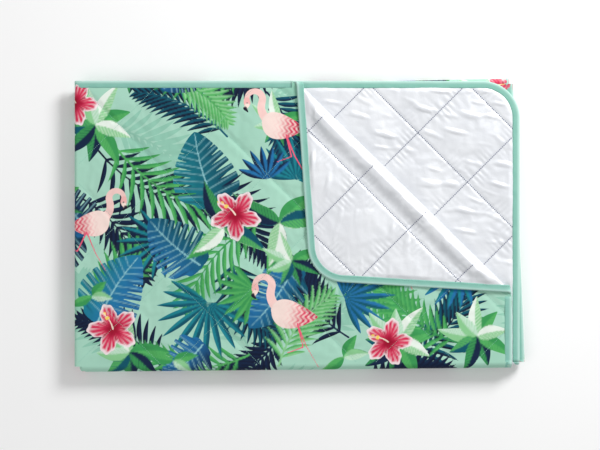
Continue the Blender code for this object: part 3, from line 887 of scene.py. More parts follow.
# %% Printed panels
RIGHT_EDGES = {
    ("top", False): TOP_RIGHT, ("top", True): SECOND_RIGHT,
    ("middle", False): MIDDLE_RIGHT, ("middle", True): MIDDLE_RIGHT,
    ("bottom", False): BOTTOM_RIGHT, ("bottom", True): BOTTOM_RIGHT,
}
ENDS = {
    "top": (FRONT_AXIS, BACK_EDGE),
    "middle": (FRONT_AXIS, BACK_AXIS),
    "bottom": (BOTTOM_FRONT, BACK_AXIS),
}
UNDER_TAPE = 0.8 * MM  # from the tape's fold to the cut edge of the cloth inside it
TUCK = 0.7 * MM  # how far the cloth is pressed down where the tape holds it
FOLD_EASE = 25 * MM  # over this distance a layer goes flat before it turns into a fold
ROLL_STEPS = 8


def bound_edges(third, lower):
    """The bound edges of a layer, and its rounded corner if it has one."""
    edges, corner = [RIGHT_EDGES[third, lower]], None
    if third == "top":
        edges.append(BACK_EDGE)
        if lower:
            corner = (meet(SECOND_RIGHT, BACK_EDGE), -1, -1, CORNER_RADIUS)
    if third == "bottom":
        edges.append(BOTTOM_FRONT)
        corner = (meet(BOTTOM_RIGHT, BOTTOM_FRONT), -1, 1, CORNER_RADIUS)
    return edges, corner


def layer_plan(third, lower, rows, columns, inset, fold_gap=0.0):
    """The plan points of one layer, its bound edges moved in a little, and its ends at folds by a gap."""
    front, back = ENDS[third]
    right = moved_in(RIGHT_EDGES[third, lower], inset)
    front = moved_in(front, inset if third == "bottom" else fold_gap)
    back = moved_in(back, inset if third == "top" else fold_gap)
    points = [meet(right, front), meet(right, back)]
    if (third, lower) == ("top", False):
        points = [points[0], meet(right, CREASE_AXIS), meet(CREASE_AXIS, back)]
    _, corner = bound_edges(third, lower)
    if corner is not None:
        place = meet(right, back if third == "top" else front)
        corner = (place, corner[1], corner[2], corner[3] - inset)
    return panel_plan(LEFT_AXIS[third], front, back, points, rows, columns, corner)


def clear_of_tape(inside, ease):
    """0 under the tape, rising to 1 at an ease beyond its inner edge."""
    return smooth(inside, TAPE_WIDTH - 3 * MM, TAPE_WIDTH + ease)


def folded_sides(third, lower, plan):
    """0 on the sides of a layer where its cloth turns into a fold, rising to 1 inwards."""
    sides = [LEFT_AXIS[third]] + [fold for fold in ENDS[third] if fold is FRONT_AXIS or fold is BACK_AXIS]
    if (third, lower) == ("top", False):
        sides.append(CREASE_AXIS)
    share = 1.0
    for side in sides:
        share = share * smooth(inwards_from(side, plan), 0, FOLD_EASE)
    return share


def print_relief(third, lower, plan):
    """How far the print stands above (+) or is pressed below (-) its place in the frame."""
    edges, corner = bound_edges(third, lower)
    inside = edge_distance(plan, edges, corner)
    relief = -1.1 * MM * stitch_valley(plan) - TUCK * (1 - clear_of_tape(inside, 5 * MM))
    if (third, lower) == ("top", False):
        quilt = puckered(plan)[..., 2]
        from_crease_in = smooth(inwards_from(CREASE_AXIS, plan), 0, 60 * MM)
        free = smooth(inside, TAPE_WIDTH, 4 * TAPE_WIDTH) * from_crease_in
        relief = relief + (0.30 * quilt - 0.3 * MM) * free
    return relief * folded_sides(third, lower, plan)


def left_roll(third, start, radius, steps):
    """Half a turn from the upper to the lower layer: each row's point moves round the roll's axis."""
    out = -left_of(LEFT_AXIS[third][1])
    angle = np.linspace(0, math.pi, steps + 1)[1:]
    shift = radius * np.sin(angle)[:, None] * out
    plan = start[:, None, :] + shift[None]
    height = np.broadcast_to(MIDDLE_Z[third] + radius * np.cos(angle), plan.shape[:2])
    return plan, height, angle


def printed_layer(third, lower, rows, count):
    """One layer's print: a flat panel, and for the upper layer the left roll too."""
    columns = np.linspace(0, 1, count)
    plan = layer_plan(third, lower, rows, columns, UNDER_TAPE)
    side = -1 if lower else 1
    height = MIDDLE_Z[third] + side * (SKIN + print_relief(third, lower, plan))
    values = cloth_values(third, lower, plan)
    facing = upright(plan, side)
    if not lower:
        roll, roll_z, angle = left_roll(third, plan[:, 0], SKIN, ROLL_STEPS)
        turned = np.broadcast_to(angle * SKIN, roll.shape[:2])
        flat = flat_place(third, False, np.broadcast_to(plan[:, :1], roll.shape))
        turned_values = print_values(flat - np.stack([turned, np.zeros_like(turned)], axis=-1))
        plan = np.concatenate([roll[:, ::-1], plan], axis=1)
        height = np.concatenate([roll_z[:, ::-1], height], axis=1)
        for label, shown in values.items():
            values[label] = np.concatenate([turned_values[label][:, ::-1], shown], axis=1)
        facing = np.concatenate([np.zeros(roll.shape[:2] + (3,)), facing], axis=1)
    points = at_height(plan, height)
    name = f"printed_{third}_{'lower' if lower else 'upper'}"
    return piece(name, points, grid_faces(*plan.shape[:2]), PRINT, facing, values)


FINE, MIDDLING = (236, 340), (190, 270)
printed = {}
for third in THIRDS:
    for lower in (False, True):
        grid = FINE if (third, lower) == ("top", False) else MIDDLING
        made = printed[third, lower] = printed_layer(third, lower, *grid)
        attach(made, f"{third}_third")
        size = [round(v, 3) for v in (made.dimensions.x, made.dimensions.y)]
        print(made.name, len(made.data.polygons), "faces", size)
    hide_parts(f"face_{third}")

# %% [markdown]
# ### The silver film inside
# The film faces the inside of the fold, so it shows only where the corner is turned back: on the second
# layer, beyond the crease. There it swells and puckers freely; where a layer lies on it, it stays flat. Its
# own turn at the left is as tight as a crease.

# %% Silver panels
FILM_SWELL = 0.36  # share of the simulated height that shows
SECOND_SHIFT = (113.0 * MM, -13.0 * MM)  # the second layer's own stitch lines
TURN_STEPS = 4


def gathers(plan, shift):
    """Short ridges across the stitch lines, where the thread gathers the film.

    Height = 0.45 mm * sine of the place along the line, its pace uneven * a bump of the distance d from the
    line that is highest at 6 mm: d / 6 * e^(1 - d / 6). Each side of each line has its own phase.
    """
    total = 0.0
    u, v = stitch_places(plan, shift)
    for across, along in ((u, v), (v, u)):
        number = np.round(across / DIAMOND)
        away = across - number * DIAMOND
        phase = 1.7 * number + 1.3 * np.sign(away)
        wave = np.sin(along / (1.7 * MM) + 2.2 * np.sin(along / (9 * MM) + phase) + phase)
        strength = 0.6 + 0.4 * np.sin(along / (17 * MM) + 2.1 * phase)
        near = np.abs(away) / (6 * MM)
        total = total + wave * strength * near * np.exp(1 - near)
    return 0.45 * MM * total


def long_folds(plan, heading, seed):
    """Soft folds 2 mm high that lie along a heading: the crests of the sum of 24 waves, 16 to 44 mm long."""
    rng = np.random.default_rng(seed)
    total = 0.0
    for _ in range(24):
        way = toward(heading + 90 + rng.uniform(-24, 24))
        length, phase = rng.uniform(16, 44) * MM, rng.uniform(0, 2 * math.pi)
        total = total + np.sin(2 * math.pi * (plan @ way) / length + phase)
    return 2.0 * MM * smooth(total / math.sqrt(12), 0.3, 2.4)


def film_quilting(plan, shift, heading, seed):
    """The film between its stitches: the simulated swelling, long folds, gathers and the stitches' groove."""
    swelling = FILM_SWELL * puckered(plan, shift)[..., 2] * (1 - 0.6 * stitch_valley(plan, shift, 34 * MM))
    folds = long_folds(plan, heading, seed) * (1 - 0.8 * stitch_valley(plan, shift, 16 * MM))
    groove = -0.8 * MM * stitch_valley(plan, shift, 5 * MM)
    return swelling + folds + groove + gathers(plan, shift)


def past_crease(plan):
    """Distance beyond the crease, away from the top layer."""
    return -inwards_from(CREASE_AXIS, plan) - SKIN


def film_relief(third, lower, plan):
    """How far the film stands above its place: tucked under the tape, and quilted where it shows."""
    edges, corner = bound_edges(third, lower)
    inside = edge_distance(plan, edges, corner)
    held = clear_of_tape(inside, 7 * MM)
    relief = -TUCK * (1 - held)
    if (third, lower) == ("top", True):
        free = held * smooth(past_crease(plan), -2 * MM, 16 * MM)
        relief = relief + film_quilting(plan, SECOND_SHIFT, -17, 3) * free
    return relief * smooth(inwards_from(LEFT_AXIS[third], plan), 0, FOLD_EASE)


def film_columns(third):
    """Shares along a row, close together only where the film shows."""
    if third != "top":
        return np.linspace(0, 1, 60)
    return np.concatenate([np.linspace(0, 0.42, 12)[:-1], np.linspace(0.42, 1, 280)])


def folded_sheet(third, upper, lower, radius, steps):
    """Both layers as one sheet: the upper one from right to left, half a turn, and the lower one back."""
    turn, turn_z, _ = left_roll(third, upper[:, -1, :2], radius, steps)
    return np.concatenate([upper, at_height(turn, turn_z)[:, :-1], lower], axis=1)


def silver_layers(third):
    """Both layers of a third's film in one sheet: upper layer, tight turn, lower layer."""
    rows = 280 if third == "top" else 70
    parts, facing = [], []
    for lower, shares in ((False, np.linspace(0, 1, 26)), (True, film_columns(third))):
        plan = layer_plan(third, lower, rows, shares, UNDER_TAPE)
        side = 1 if lower else -1
        height = MIDDLE_Z[third] - side * INSIDE + side * film_relief(third, lower, plan)
        points = at_height(plan, height)
        parts.append(points if lower else points[:, ::-1])
        facing.append(upright(plan, side))
    points = folded_sheet(third, *parts, INSIDE, TURN_STEPS)
    facing = np.concatenate([facing[0], np.zeros((rows, TURN_STEPS - 1, 3)), facing[1]], axis=1)
    return piece(f"silver_{third}", points, grid_faces(*points.shape[:2]), FILM, facing)


silver = {}
for third in THIRDS:
    silver[third] = silver_layers(third)
    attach(silver[third], f"{third}_third")
    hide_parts(f"backing_{third}")
    print(silver[third].name, len(silver[third].data.polygons), "faces")

# %% [markdown]
# ### Wadding
# The wadding is a soft pad between the two cloths of each layer. It hides inside, but it is made all the
# same: a closed pad with rounded rims, thinner where the stitches hold it.

# %% Wadding pads
UNDER_PRINT = 1.4 * MM  # from the print to the pad
OVER_FILM = 1.0 * MM  # from the film to the pad
PAD_INSET = 3 * MM


def closed_pad(name, top, bottom):
    """Two grids of the same shape, joined round their rims."""
    rows, columns = top.shape[:2]
    count = rows * columns
    faces = grid_faces(rows, columns)
    index = np.arange(count).reshape(rows, columns)
    rim = np.concatenate([index[0, :-1], index[:-1, -1], index[-1, :0:-1], index[:0:-1, 0]])
    after = np.roll(rim, -1)
    sides = np.stack([rim, rim + count, after + count, after], axis=-1)
    points = np.concatenate([top.reshape(-1, 3), bottom.reshape(-1, 3)])
    made = piece(name, points, np.concatenate([faces[:, ::-1], faces + count, sides[:, ::-1]]), WADDING)
    set_outwards(made)
    return made


def set_outwards(made):
    """Turns a closed mesh's faces out, if its volume comes out negative."""
    mesh = made.data
    corners = np.array([[mesh.vertices[v].co[:] for v in face.vertices[:3]] for face in mesh.polygons])
    if np.einsum("ij,ij->i", corners[:, 0], np.cross(corners[:, 1], corners[:, 2])).sum() < 0:
        mesh.flip_normals()


def wadding_third(third):
    """The pad of both layers and the roll: outer face inside the print, inner face outside the film."""
    faces = []
    for radius in (SKIN - UNDER_PRINT, INSIDE + OVER_FILM):
        inner = radius < PITCH / 2
        shift, press = (SECOND_SHIFT, -1.0) if inner else ((0, 0), 0.5)
        parts = []
        for lower in (False, True):
            plan = layer_plan(third, lower, 60, np.linspace(0, 1, 80), PAD_INSET, fold_gap=1 * MM)
            side = -1 if lower else 1
            thin = MM * stitch_valley(plan, shift, 14 * MM) * press
            points = at_height(plan, MIDDLE_Z[third] + side * (radius - thin))
            parts.append(points if lower else points[:, ::-1])
        faces.append(folded_sheet(third, *parts, radius, 6))
    return closed_pad(f"wadding_pad_{third}", *faces)


for third in THIRDS:
    pad = wadding_third(third)
    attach(pad, f"{third}_third")
    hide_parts(f"wadding_{third}")
print("wadding pads made")

# %% [markdown]
# ## The turned corner
# The corner's two cloths, its pad and its tape all turn over the same crease, so they are made in the
# crease's own coordinates: t runs along the crease from its right end, q is the distance from its axis over
# the top layer, and z is the height above the axis. A row of cloth comes up from under the top layer, round
# the roll and out over it. The roll is full of wadding that doesn't want to fold, so it stands up in a soft
# hump behind the crease.

# %% The crease's coordinates
CREASE_TAKE_UP = 41 * MM  # cloth that the roll takes from the corner's reach
CREASE_SLIP = 7.5 * MM  # how far the corner slips back along the crease
HUMP = 6.9 * MM
T_ORIGIN = meet(CREASE_AXIS, TOP_RIGHT)
T_WAY, Q_WAY = CREASE_AXIS[1], left_of(CREASE_AXIS[1])
FLAP_SHIFT = (103.0 * MM, 1.5 * MM)  # the corner's own stitch lines


def crease_place(plan):
    """Plan point to t and q."""
    return (plan - T_ORIGIN) @ T_WAY, (plan - T_ORIGIN) @ Q_WAY


def plan_of(t, q):
    """t and q back to a plan point."""
    return T_ORIGIN + np.asarray(t)[..., None] * T_WAY + np.asarray(q)[..., None] * Q_WAY


def from_crease(t, q, z):
    """t, q and z to a point of the frame."""
    return at_height(plan_of(t, q), CREASE_Z + z)


def through(a, b):
    """The line from one plan point to another."""
    return a, (b - a) / np.hypot(*(b - a))


CREASE_LINE = moved_in(CREASE_AXIS, -SKIN)
CREASE_BACK, CREASE_RIGHT = meet(CREASE_LINE, BACK_EDGE), meet(CREASE_LINE, TOP_RIGHT)
corner_t, corner_q = crease_place(meet(TOP_RIGHT, BACK_EDGE))
FLAP_CORNER = T_ORIGIN + (corner_t + CREASE_SLIP) * T_WAY + (-corner_q - CREASE_TAKE_UP) * Q_WAY
FLAP_BACK, FLAP_RIGHT = through(CREASE_BACK, FLAP_CORNER), through(FLAP_CORNER, CREASE_RIGHT)
print("flap corner", (FLAP_CORNER / MM).round(1), "mm")


def rounded(before, after, radius, count=14):
    """Points of the arc that rounds the corner where one line turns left into another."""
    corner = meet(before, after)
    turn = math.acos(float(np.clip(np.dot(before[1], after[1]), -1, 1)))
    centre = corner - before[1] * radius * math.tan(turn / 2) + left_of(before[1]) * radius
    angle = np.linspace(0, turn, count)[:, None]
    return centre - left_of(before[1]) * radius * np.cos(angle) + before[1] * radius * np.sin(angle)


def flap_edges(inset):
    """The flap's outline as two branches of (q, t), from the crease to the tip of the rounded corner."""
    back, right = moved_in(FLAP_BACK, inset), moved_in(FLAP_RIGHT, inset)
    arc = rounded(back, right, CORNER_RADIUS - inset, 40)
    start, stop = back[0] - 0.05 * back[1], right[0] + right[1] * 0.6
    t, q = crease_place(np.concatenate([[start], arc, [stop]]))
    top = int(np.argmax(q))
    return (q[:top + 1], t[:top + 1]), (q[top:][::-1], t[top:][::-1])


def crossing_t(edge, q):
    """Where a straight edge crosses a row at distance q from the crease's axis."""
    t0, q0 = crease_place(edge[0])
    slope = np.dot(edge[1], T_WAY) / np.dot(edge[1], Q_WAY)
    return t0 + (q - q0) * slope


def turned_rows(radius, inset, turn_steps, row_step, columns):
    """t, q, z and the outward way of a cloth that turns round the crease and lies out over the flap."""
    low = np.linspace(0, QUARTER, turn_steps + 1)
    high = np.linspace(QUARTER, math.pi, turn_steps + 1)[1:]
    (back_q, back_t), (right_q, right_t) = flap_edges(inset)
    reach = min(back_q[-1], right_q[-1]) - 0.4 * MM
    out = spread(0, reach, row_step)[1:]
    out = reach * (1 - (1 - out / reach) ** 1.25)  # rows close up towards the rounded corner
    q = np.concatenate([-radius * np.sin(low), -radius * np.sin(high), out])
    z = np.concatenate([-radius * np.cos(low), -radius * np.cos(high), np.full(out.shape, radius)])
    under = np.arange(len(q)) <= turn_steps
    start = np.where(under, crossing_t(moved_in(TOP_RIGHT, inset), q), np.interp(q, right_q, right_t))
    stop = np.where(under, crossing_t(moved_in(BACK_EDGE, inset), q), np.interp(q, back_q, back_t))
    share = np.linspace(0, 1, columns)
    t = mix(start[:, None], stop[:, None], share[None])
    shape = t.shape
    q, z = np.broadcast_to(q[:, None], shape), np.broadcast_to(z[:, None], shape)
    facing = np.concatenate([np.zeros(shape + (2,)), np.sign(z)[..., None]], axis=-1)
    return t, q, z, np.broadcast_to(under[:, None], shape), facing


def flap_inside(plan):
    """Distance inside the flap's bound edges."""
    found = np.minimum(inwards_from(FLAP_BACK, plan), inwards_from(FLAP_RIGHT, plan))
    arc = rounded(FLAP_BACK, FLAP_RIGHT, CORNER_RADIUS, 3)
    centre = arc[0] + left_of(FLAP_BACK[1]) * CORNER_RADIUS
    away = plan - centre
    beyond = (away @ FLAP_BACK[1] > 0) & (away @ -FLAP_RIGHT[1] > 0)
    return np.where(beyond, np.minimum(found, CORNER_RADIUS - np.hypot(away[..., 0], away[..., 1])), found)


def flap_lift(t, q, under):
    """How far the flap's film stands above its place: hump, the dip behind it, quilting and tuck."""
    plan = plan_of(t, q)
    inside = flap_inside(plan)
    held = clear_of_tape(inside, 7 * MM)
    full = smooth(inside, TAPE_WIDTH - 4 * MM, TAPE_WIDTH + 26 * MM)
    wave = 1 + 0.10 * np.sin(t / (31 * MM)) + 0.06 * np.sin(t / (11 * MM) + 1)
    hump = HUMP * wave * smooth(q, -SKIN, 10 * MM) * (1 - smooth(q, 9 * MM, 34 * MM))
    dip = -1.8 * MM * smooth(q, 16 * MM, 32 * MM) * (1 - smooth(q, 34 * MM, 52 * MM))
    quilt = film_quilting(plan, FLAP_SHIFT, 82, 4)
    lift = (hump + dip) * full + quilt * held * smooth(q, -2 * MM, 30 * MM) - TUCK * (1 - held)
    on_hump = smooth(q, -SKIN, 0) * (1 - smooth(q, 10 * MM, 34 * MM))
    creases = 0.35 * puckered(plan, (40 * MM, 50 * MM))[..., 2] * held * on_hump
    return np.where(under, 0, lift + creases)

# %% [markdown]
# ### The corner's cloths and pad
# Film outside, print inside, wadding between. The frame turns the corner about the crease's axis; each
# piece is made where it lies and tied to neither the top third nor the corner.

# %% Film, print and pad of the corner
FLAP_INSET = 1.5 * MM  # from the tape's fold to the cut edge of the corner's cloths


def blend_over_crease(made, low, high, slanted=False):
    """Bakes the piece's transform into its mesh.

    low and high are heights above the crease's axis. For tape, which lies close to the axis's height on both
    sides, they are measured at a slant: up and away from the crease. The two points they give are not used.
    """
    origin = np.array([*CREASE_AXIS[0], CREASE_Z])
    way = np.array([*Q_WAY, 1.0]) / math.sqrt(2) if slanted else np.array([0.0, 0.0, 1.0])
    start, end = ((origin + height * way).tolist() for height in (low, high))
    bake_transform(made)


t, q, z, under, facing = turned_rows(SKIN, FLAP_INSET, 6, 1.5 * MM, 330)
lifted = z + flap_lift(t, q, under)
silver_corner = piece("silver_corner", from_crease(t, q, lifted), grid_faces(*t.shape), FILM, facing)
blend_over_crease(silver_corner, 0.2 * MM - SKIN, 1.2 * MM)
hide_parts("backing_crease", "backing_corner")
print(silver_corner.name, len(silver_corner.data.polygons), "faces")
print("highest", round(float(lifted.max() + CREASE_Z) / MM, 1), "mm")

t, q, z, under, facing = turned_rows(INSIDE, FLAP_INSET, 2, 2.2 * MM, 250)
unturned = plan_of(t, -np.where(under, 0, np.maximum(q, 0)))
tuck = np.where(under, 0, 0.6 * MM * (1 - clear_of_tape(flap_inside(plan_of(t, q)), 5 * MM)))
press = np.where(under, 0, 0.8 * MM * stitch_valley(unturned) * smooth(q, 0, 25 * MM))
printed_corner = piece("printed_corner", from_crease(t, q, z + tuck + press), grid_faces(*t.shape), PRINT,
                       -facing, cloth_values("top", False, unturned))
blend_over_crease(printed_corner, -INSIDE, INSIDE)
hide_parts("face_crease", "face_corner")

grids = []
for radius, press in ((SKIN - UNDER_PRINT, -1.0), (INSIDE + 0.9 * MM, 0.0)):
    t, q, z, under, _ = turned_rows(radius, 4 * MM, 4, 4 * MM, 110)
    lift = np.maximum(flap_lift(t, q, under), -0.9 * MM) + press * MM * ~under if press else 0
    grids.append(from_crease(t, q, z + lift))
rows = min(len(g) for g in grids)
pad_corner = closed_pad("wadding_pad_corner", *[g[:rows] for g in grids])
blend_over_crease(pad_corner, -0.5 * MM, 0.2 * MM)
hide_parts("wadding_crease", "wadding_corner")

# %% [markdown]
# ## The wraps that join the thirds
# At the front and the back the cloth goes round a fold to the next third: an outer wrap round four layers
# and an inner one round two. Each is half a tube, made where it lies and tied to neither third. The outer
# wraps show at the front and the back, so they carry the print; at the left they close in a rounded end.

# %% Half tubes of cloth
FOLDS = {
    "front": (FRONT_AXIS, FRONT_Z, ("middle_third", "top_third")),
    "back": (BACK_AXIS, BACK_Z, ("bottom_third", "middle_third")),
}
WRAP_LEG = 6 * MM  # a tight inner wrap is sewn down this far into each layer
WRAP_RADII = {"outer": PITCH * 1.5, "inner": PITCH / 2}  # to the middle of the wadding
WRAP_RIGHT = {
    ("front", "outer"): TOP_RIGHT, ("front", "inner"): SECOND_RIGHT,
    ("back", "outer"): BOTTOM_RIGHT, ("back", "inner"): BOTTOM_RIGHT,
}


def wrap_points(fold, which, radius, inset, steps, step_along, dome=0.0, leg=0.0):
    """Half a tube about a fold's axis: out = radius sin a, up = radius cos a, for a from 0 to half a turn.

    With a dome, the radius falls to nothing at the left as the root of 1 - s^2, over a few millimetres. A leg
    runs straight on from each end of the turn, just inside the layer's own cloth.
    """
    (point, along), height, _ = FOLDS[fold]
    ends = (LEFT_AXIS["middle"], WRAP_RIGHT[fold, which])
    stations = [np.dot(meet((point, along), edge) - point, along) for edge in ends]
    to_right = math.copysign(1, stations[1] - stations[0])
    length = spread(0, abs(stations[1] - stations[0]) - inset, step_along)
    width = np.full(length.shape, radius)
    if dome:
        s = np.linspace(1, 0, 9)[:-1]
        length = np.concatenate([-dome * s, length])
        width = np.concatenate([radius * np.sqrt(np.maximum(1 - s * s, 1e-4)), width])
    angle = np.linspace(0, math.pi, steps + 1)
    out, up = width[:, None] * np.sin(angle), width[:, None] * np.cos(angle)
    if leg:
        angle = np.concatenate([[0], angle, [math.pi]])
        out = np.pad(out, ((0, 0), (1, 1)), constant_values=-leg)
        up = np.pad(up, ((0, 0), (1, 1)), mode="edge")
        up[:, 0] += 0.15 * MM
        up[:, -1] -= 0.15 * MM
    on_axis = point + (stations[0] + to_right * length)[:, None] * along
    plan = on_axis[:, None] - out[..., None] * left_of(along)
    sideways = np.broadcast_to(-left_of(along), plan.shape) * np.sin(angle)[None, :, None]
    return at_height(plan, height + up), at_height(sideways, np.cos(angle)), angle


def wrap_values(fold, which, points, angle, radius):
    """The print's flat places round a wrap: along the fold by x, and across it by the length of the turn."""
    third = {"front": "top", "back": "middle"}[fold]
    lower = (which == "inner") == (fold == "front")
    (point, along), _, _ = FOLDS[fold]
    on_axis = point + ((points[..., :2] - point) @ along)[..., None] * along
    flat = flat_place(third, lower, on_axis)
    turn = np.broadcast_to(angle * radius, flat.shape[:2])
    return print_values(flat - np.stack([np.zeros_like(turn), turn if fold == "front" else -turn], axis=-1))


def blend_over_fold(made, fold, which):
    """Bakes the piece's transform into its mesh. The heights of the fold's two layers are worked out but not
    used.
    """
    (point, _), height, bodies = FOLDS[fold]
    gap = SKIN if which == "outer" else INSIDE
    height - gap
    height + gap
    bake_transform(made)


for fold in FOLDS:
    for which, radius in WRAP_RADII.items():
        side = 1 if which == "outer" else -1
        print_radius, film_radius = radius + side * LAYER / 2, radius - side * LAYER / 2
        turn_steps, dome, leg = (12, 6 * MM, 0) if side > 0 else (3, 0, WRAP_LEG)
        shape = (UNDER_TAPE, turn_steps, 2.6 * MM, dome, leg)
        points, facing, angle = wrap_points(fold, which, print_radius, *shape)
        values = wrap_values(fold, which, points, angle, print_radius)
        faces = grid_faces(*points.shape[:2])
        made = piece(f"printed_{fold}_{which}", points, faces, PRINT, side * facing, values)
        points, facing, _ = wrap_points(fold, which, film_radius, UNDER_TAPE, 10, 8 * MM)
        film = piece(f"silver_{fold}_{which}", points, grid_faces(*points.shape[:2]), FILM, -side * facing)
        pad_radii = (radius + LAYER / 2 - 1.2 * MM, radius - LAYER / 2 + OVER_FILM)
        grids = [wrap_points(fold, which, pad_radius, PAD_INSET, 8, 12 * MM)[0] for pad_radius in pad_radii]
        pad = closed_pad(f"wadding_pad_{fold}_{which}", *grids)
        dressed = (
            (made, "printed_cloth", "face"),
            (film, "silver_backing", "backing"),
            (pad, "wadding", "wadding"),
        )
        for shown, slot, node in dressed:
            blend_over_fold(shown, fold, which)
            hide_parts(f"{node}_{fold}_{which}_fold")
        print(made.name, "radius", round(print_radius / MM, 1), "mm,", len(made.data.polygons), "faces")

# %% [markdown]
# ## The binding tape
# A strip of mint tape is folded over every cut edge and sewn through. Its section is a flat C: two flat
# wings on the cloth, joined by a rounded fold a little fatter than the cloth. That section is carried along
# a path. At each station a frame says which way is along, which way is inwards over the cloth, and which way
# is through it, so the same tape can run along an edge, round a corner, through a roll and over a crease.

# %% Carry the tape's section along a path
TAPE_HALF = LAYER / 2
TAPE_SKIN = 0.45 * MM
TAPES = {}


def tape_section():
    """Points (inwards, through) of the C: the outer skin round the fold, then the inner skin back."""
    round_angle = np.linspace(QUARTER, -QUARTER, 9)
    bead = TAPE_HALF + 0.25 * MM
    fold = np.stack([TAPE_HALF - bead * np.cos(round_angle) + 0.25 * MM, bead * np.sin(round_angle)], axis=-1)
    wing = np.array([[12.5, 1.75], [12.1, 2.15], [10.6, 2.28], [8.0, 2.3], [5.2, 2.32]]) * MM
    inner_angle = round_angle[::-2]
    thin = TAPE_HALF - TAPE_SKIN
    hollow = np.stack([TAPE_HALF - thin * np.cos(inner_angle), thin * np.sin(inner_angle)], axis=-1)
    lining = np.array([[12.3, -1.5], [8.0, -1.85]]) * MM
    under = lining * [1, -1]
    return np.concatenate([wing, fold, wing[::-1] * [1, -1], lining, hollow, under[::-1]])


SECTION = tape_section()
# painted highlight: 1 at the tape's rounded fold, falling to 0 inwards across the wing
EDGE_HIGHLIGHT = 1 - smooth(SECTION[:, 0], 1.5 * MM, 6.5 * MM)


def unit(v):
    return v / np.maximum(np.linalg.norm(v, axis=-1, keepdims=True), 1e-12)


def tape(name, path, through_way, seed):
    """Tape along a path of points at the cut edge, half way through the cloth. Inwards = through x along."""
    path, through_way = np.array(path), unit(np.array(through_way))
    along = unit(np.gradient(path, axis=0))
    inwards = unit(np.cross(through_way, along))
    steps = np.linalg.norm(np.diff(path, axis=0), axis=1)
    run = np.concatenate([[0], np.cumsum(steps)])
    rng = np.random.default_rng(seed)
    ease = np.zeros((len(path), len(SECTION)))
    for _ in range(14):
        period, phase, drift = rng.uniform(7, 40) * MM, rng.uniform(0, 6.28), rng.uniform(-0.5, 0.5)
        ease += np.sin(2 * math.pi * run[:, None] / period + phase + drift * SECTION[None, :, 0] / MM)
    wing = smooth(SECTION[:, 0], 2 * MM, 6 * MM) * np.sign(SECTION[:, 1])
    through_by = SECTION[None, :, 1] + 0.045 * MM * ease * wing
    points = path[:, None] + inwards[:, None] * SECTION[None, :, :1]
    points = points + through_way[:, None] * through_by[..., None]
    count = len(SECTION)
    faces = grid_faces(len(path), count, closed=True)
    flat = np.stack(np.broadcast_arrays(run[:, None], SECTION[:, 1]), axis=-1)
    # the painted highlight's share at each point of the section, kept in the alpha
    edge_highlight = np.zeros((len(path), count, 4))
    edge_highlight[..., 3] = EDGE_HIGHLIGHT
    made = piece(name, points, faces, TAPE, None, {"flat": flat, "edge_highlight": edge_highlight})
    close_ends(made, count, len(path))
    set_outwards(made)
    TAPES[name] = (path, through_way, inwards)
    print(name, round(float(run[-1]), 3), "m of tape")
    return made


def close_ends(made, count, stations):
    """Closes the two ends of a carried section with triangles between its own points."""
    shape = bmesh.new()
    shape.from_mesh(made.data)
    shape.verts.ensure_lookup_table()
    for first in (0, (stations - 1) * count):
        ring = [shape.verts[first + n] for n in range(count)]
        shape.faces.new(ring)
    bmesh.ops.triangulate(shape, faces=[face for face in shape.faces if len(face.verts) > 4])
    shape.to_mesh(made.data)
    shape.free()

# %% [markdown]
# The paths come from the same lines as the cloth. A path keeps the cloth on its left when seen from outside,
# and through the left roll or over the crease it goes round the axis with the middle of the wadding.

# %% Paths of the tape
TAPE_STEP = 5 * MM
MIDDLE_RADIUS = PITCH / 2


def run_between(a, b):
    """Evenly spaced plan points from a to b."""
    return mix(a, b, spread(0, 1, TAPE_STEP / np.hypot(*(b - a)))[:, None])


def run_round(start, arc, stop):
    """Straight to a rounded corner, round it, and straight on."""
    return np.concatenate([run_between(start, arc[0]), arc, run_between(arc[-1], stop)])


def flat_run(plan, height, way):
    """A plan path at one height, and its through direction, up (1) or down (-1)."""
    return at_height(plan, height), upright(plan, way)


def half_turn(angle, out):
    """The ways out from an axis: up by cos a and out by sin a."""
    return at_height(np.sin(angle)[:, None] * out, np.cos(angle))


def roll_run(third, place, downwards):
    """Half a turn round a third's left roll, at a plan place of its axis."""
    out = -left_of(LEFT_AXIS[third][1])
    angle = np.linspace(0, math.pi, 9)[1:-1]
    angle = angle if downwards else angle[::-1]
    ways = half_turn(angle, out)
    centre = np.array([*place, MIDDLE_Z[third]])
    return centre + MIDDLE_RADIUS * ways, ways


def fold_run(fold, which, edge, to_right):
    """Half a turn round the front or back fold, at a bound right edge."""
    (point, along), height, _ = FOLDS[fold]
    place = meet((point, along), edge)
    out = -left_of(along)
    angle = np.linspace(0, math.pi, 13)
    angle = angle if to_right else angle[::-1]
    ways = half_turn(angle, out)
    return np.array([*place, height]) + WRAP_RADII[which] * ways, ways


def crease_run(edge_below, edge_above, upwards):
    """Half a turn over the crease at a bound edge, where the edge below or above crosses each row."""
    angle = np.linspace(0, math.pi, 13)
    q = -MIDDLE_RADIUS * np.sin(angle)
    t = np.where(angle <= QUARTER, crossing_t(edge_below, q), crossing_t(edge_above, q))
    shift = (crossing_t(edge_below, -MIDDLE_RADIUS) - crossing_t(edge_above, -MIDDLE_RADIUS)) / 2
    t = t - np.where(angle <= QUARTER, 1, -1) * shift * (1 - np.abs(np.cos(angle)))
    points = from_crease(t, q, -MIDDLE_RADIUS * np.cos(angle))
    ways = -half_turn(angle, Q_WAY)
    return (points, ways) if upwards else (points[::-1], ways[::-1])


def joined(*runs):
    """Runs laid end to end, without the points that two of them share."""
    path, ways = (np.concatenate(column) for column in zip(*runs))
    keep = np.concatenate([[True], np.linalg.norm(np.diff(path, axis=0), axis=1) > 0.4 * MM])
    return path[keep], ways[keep]


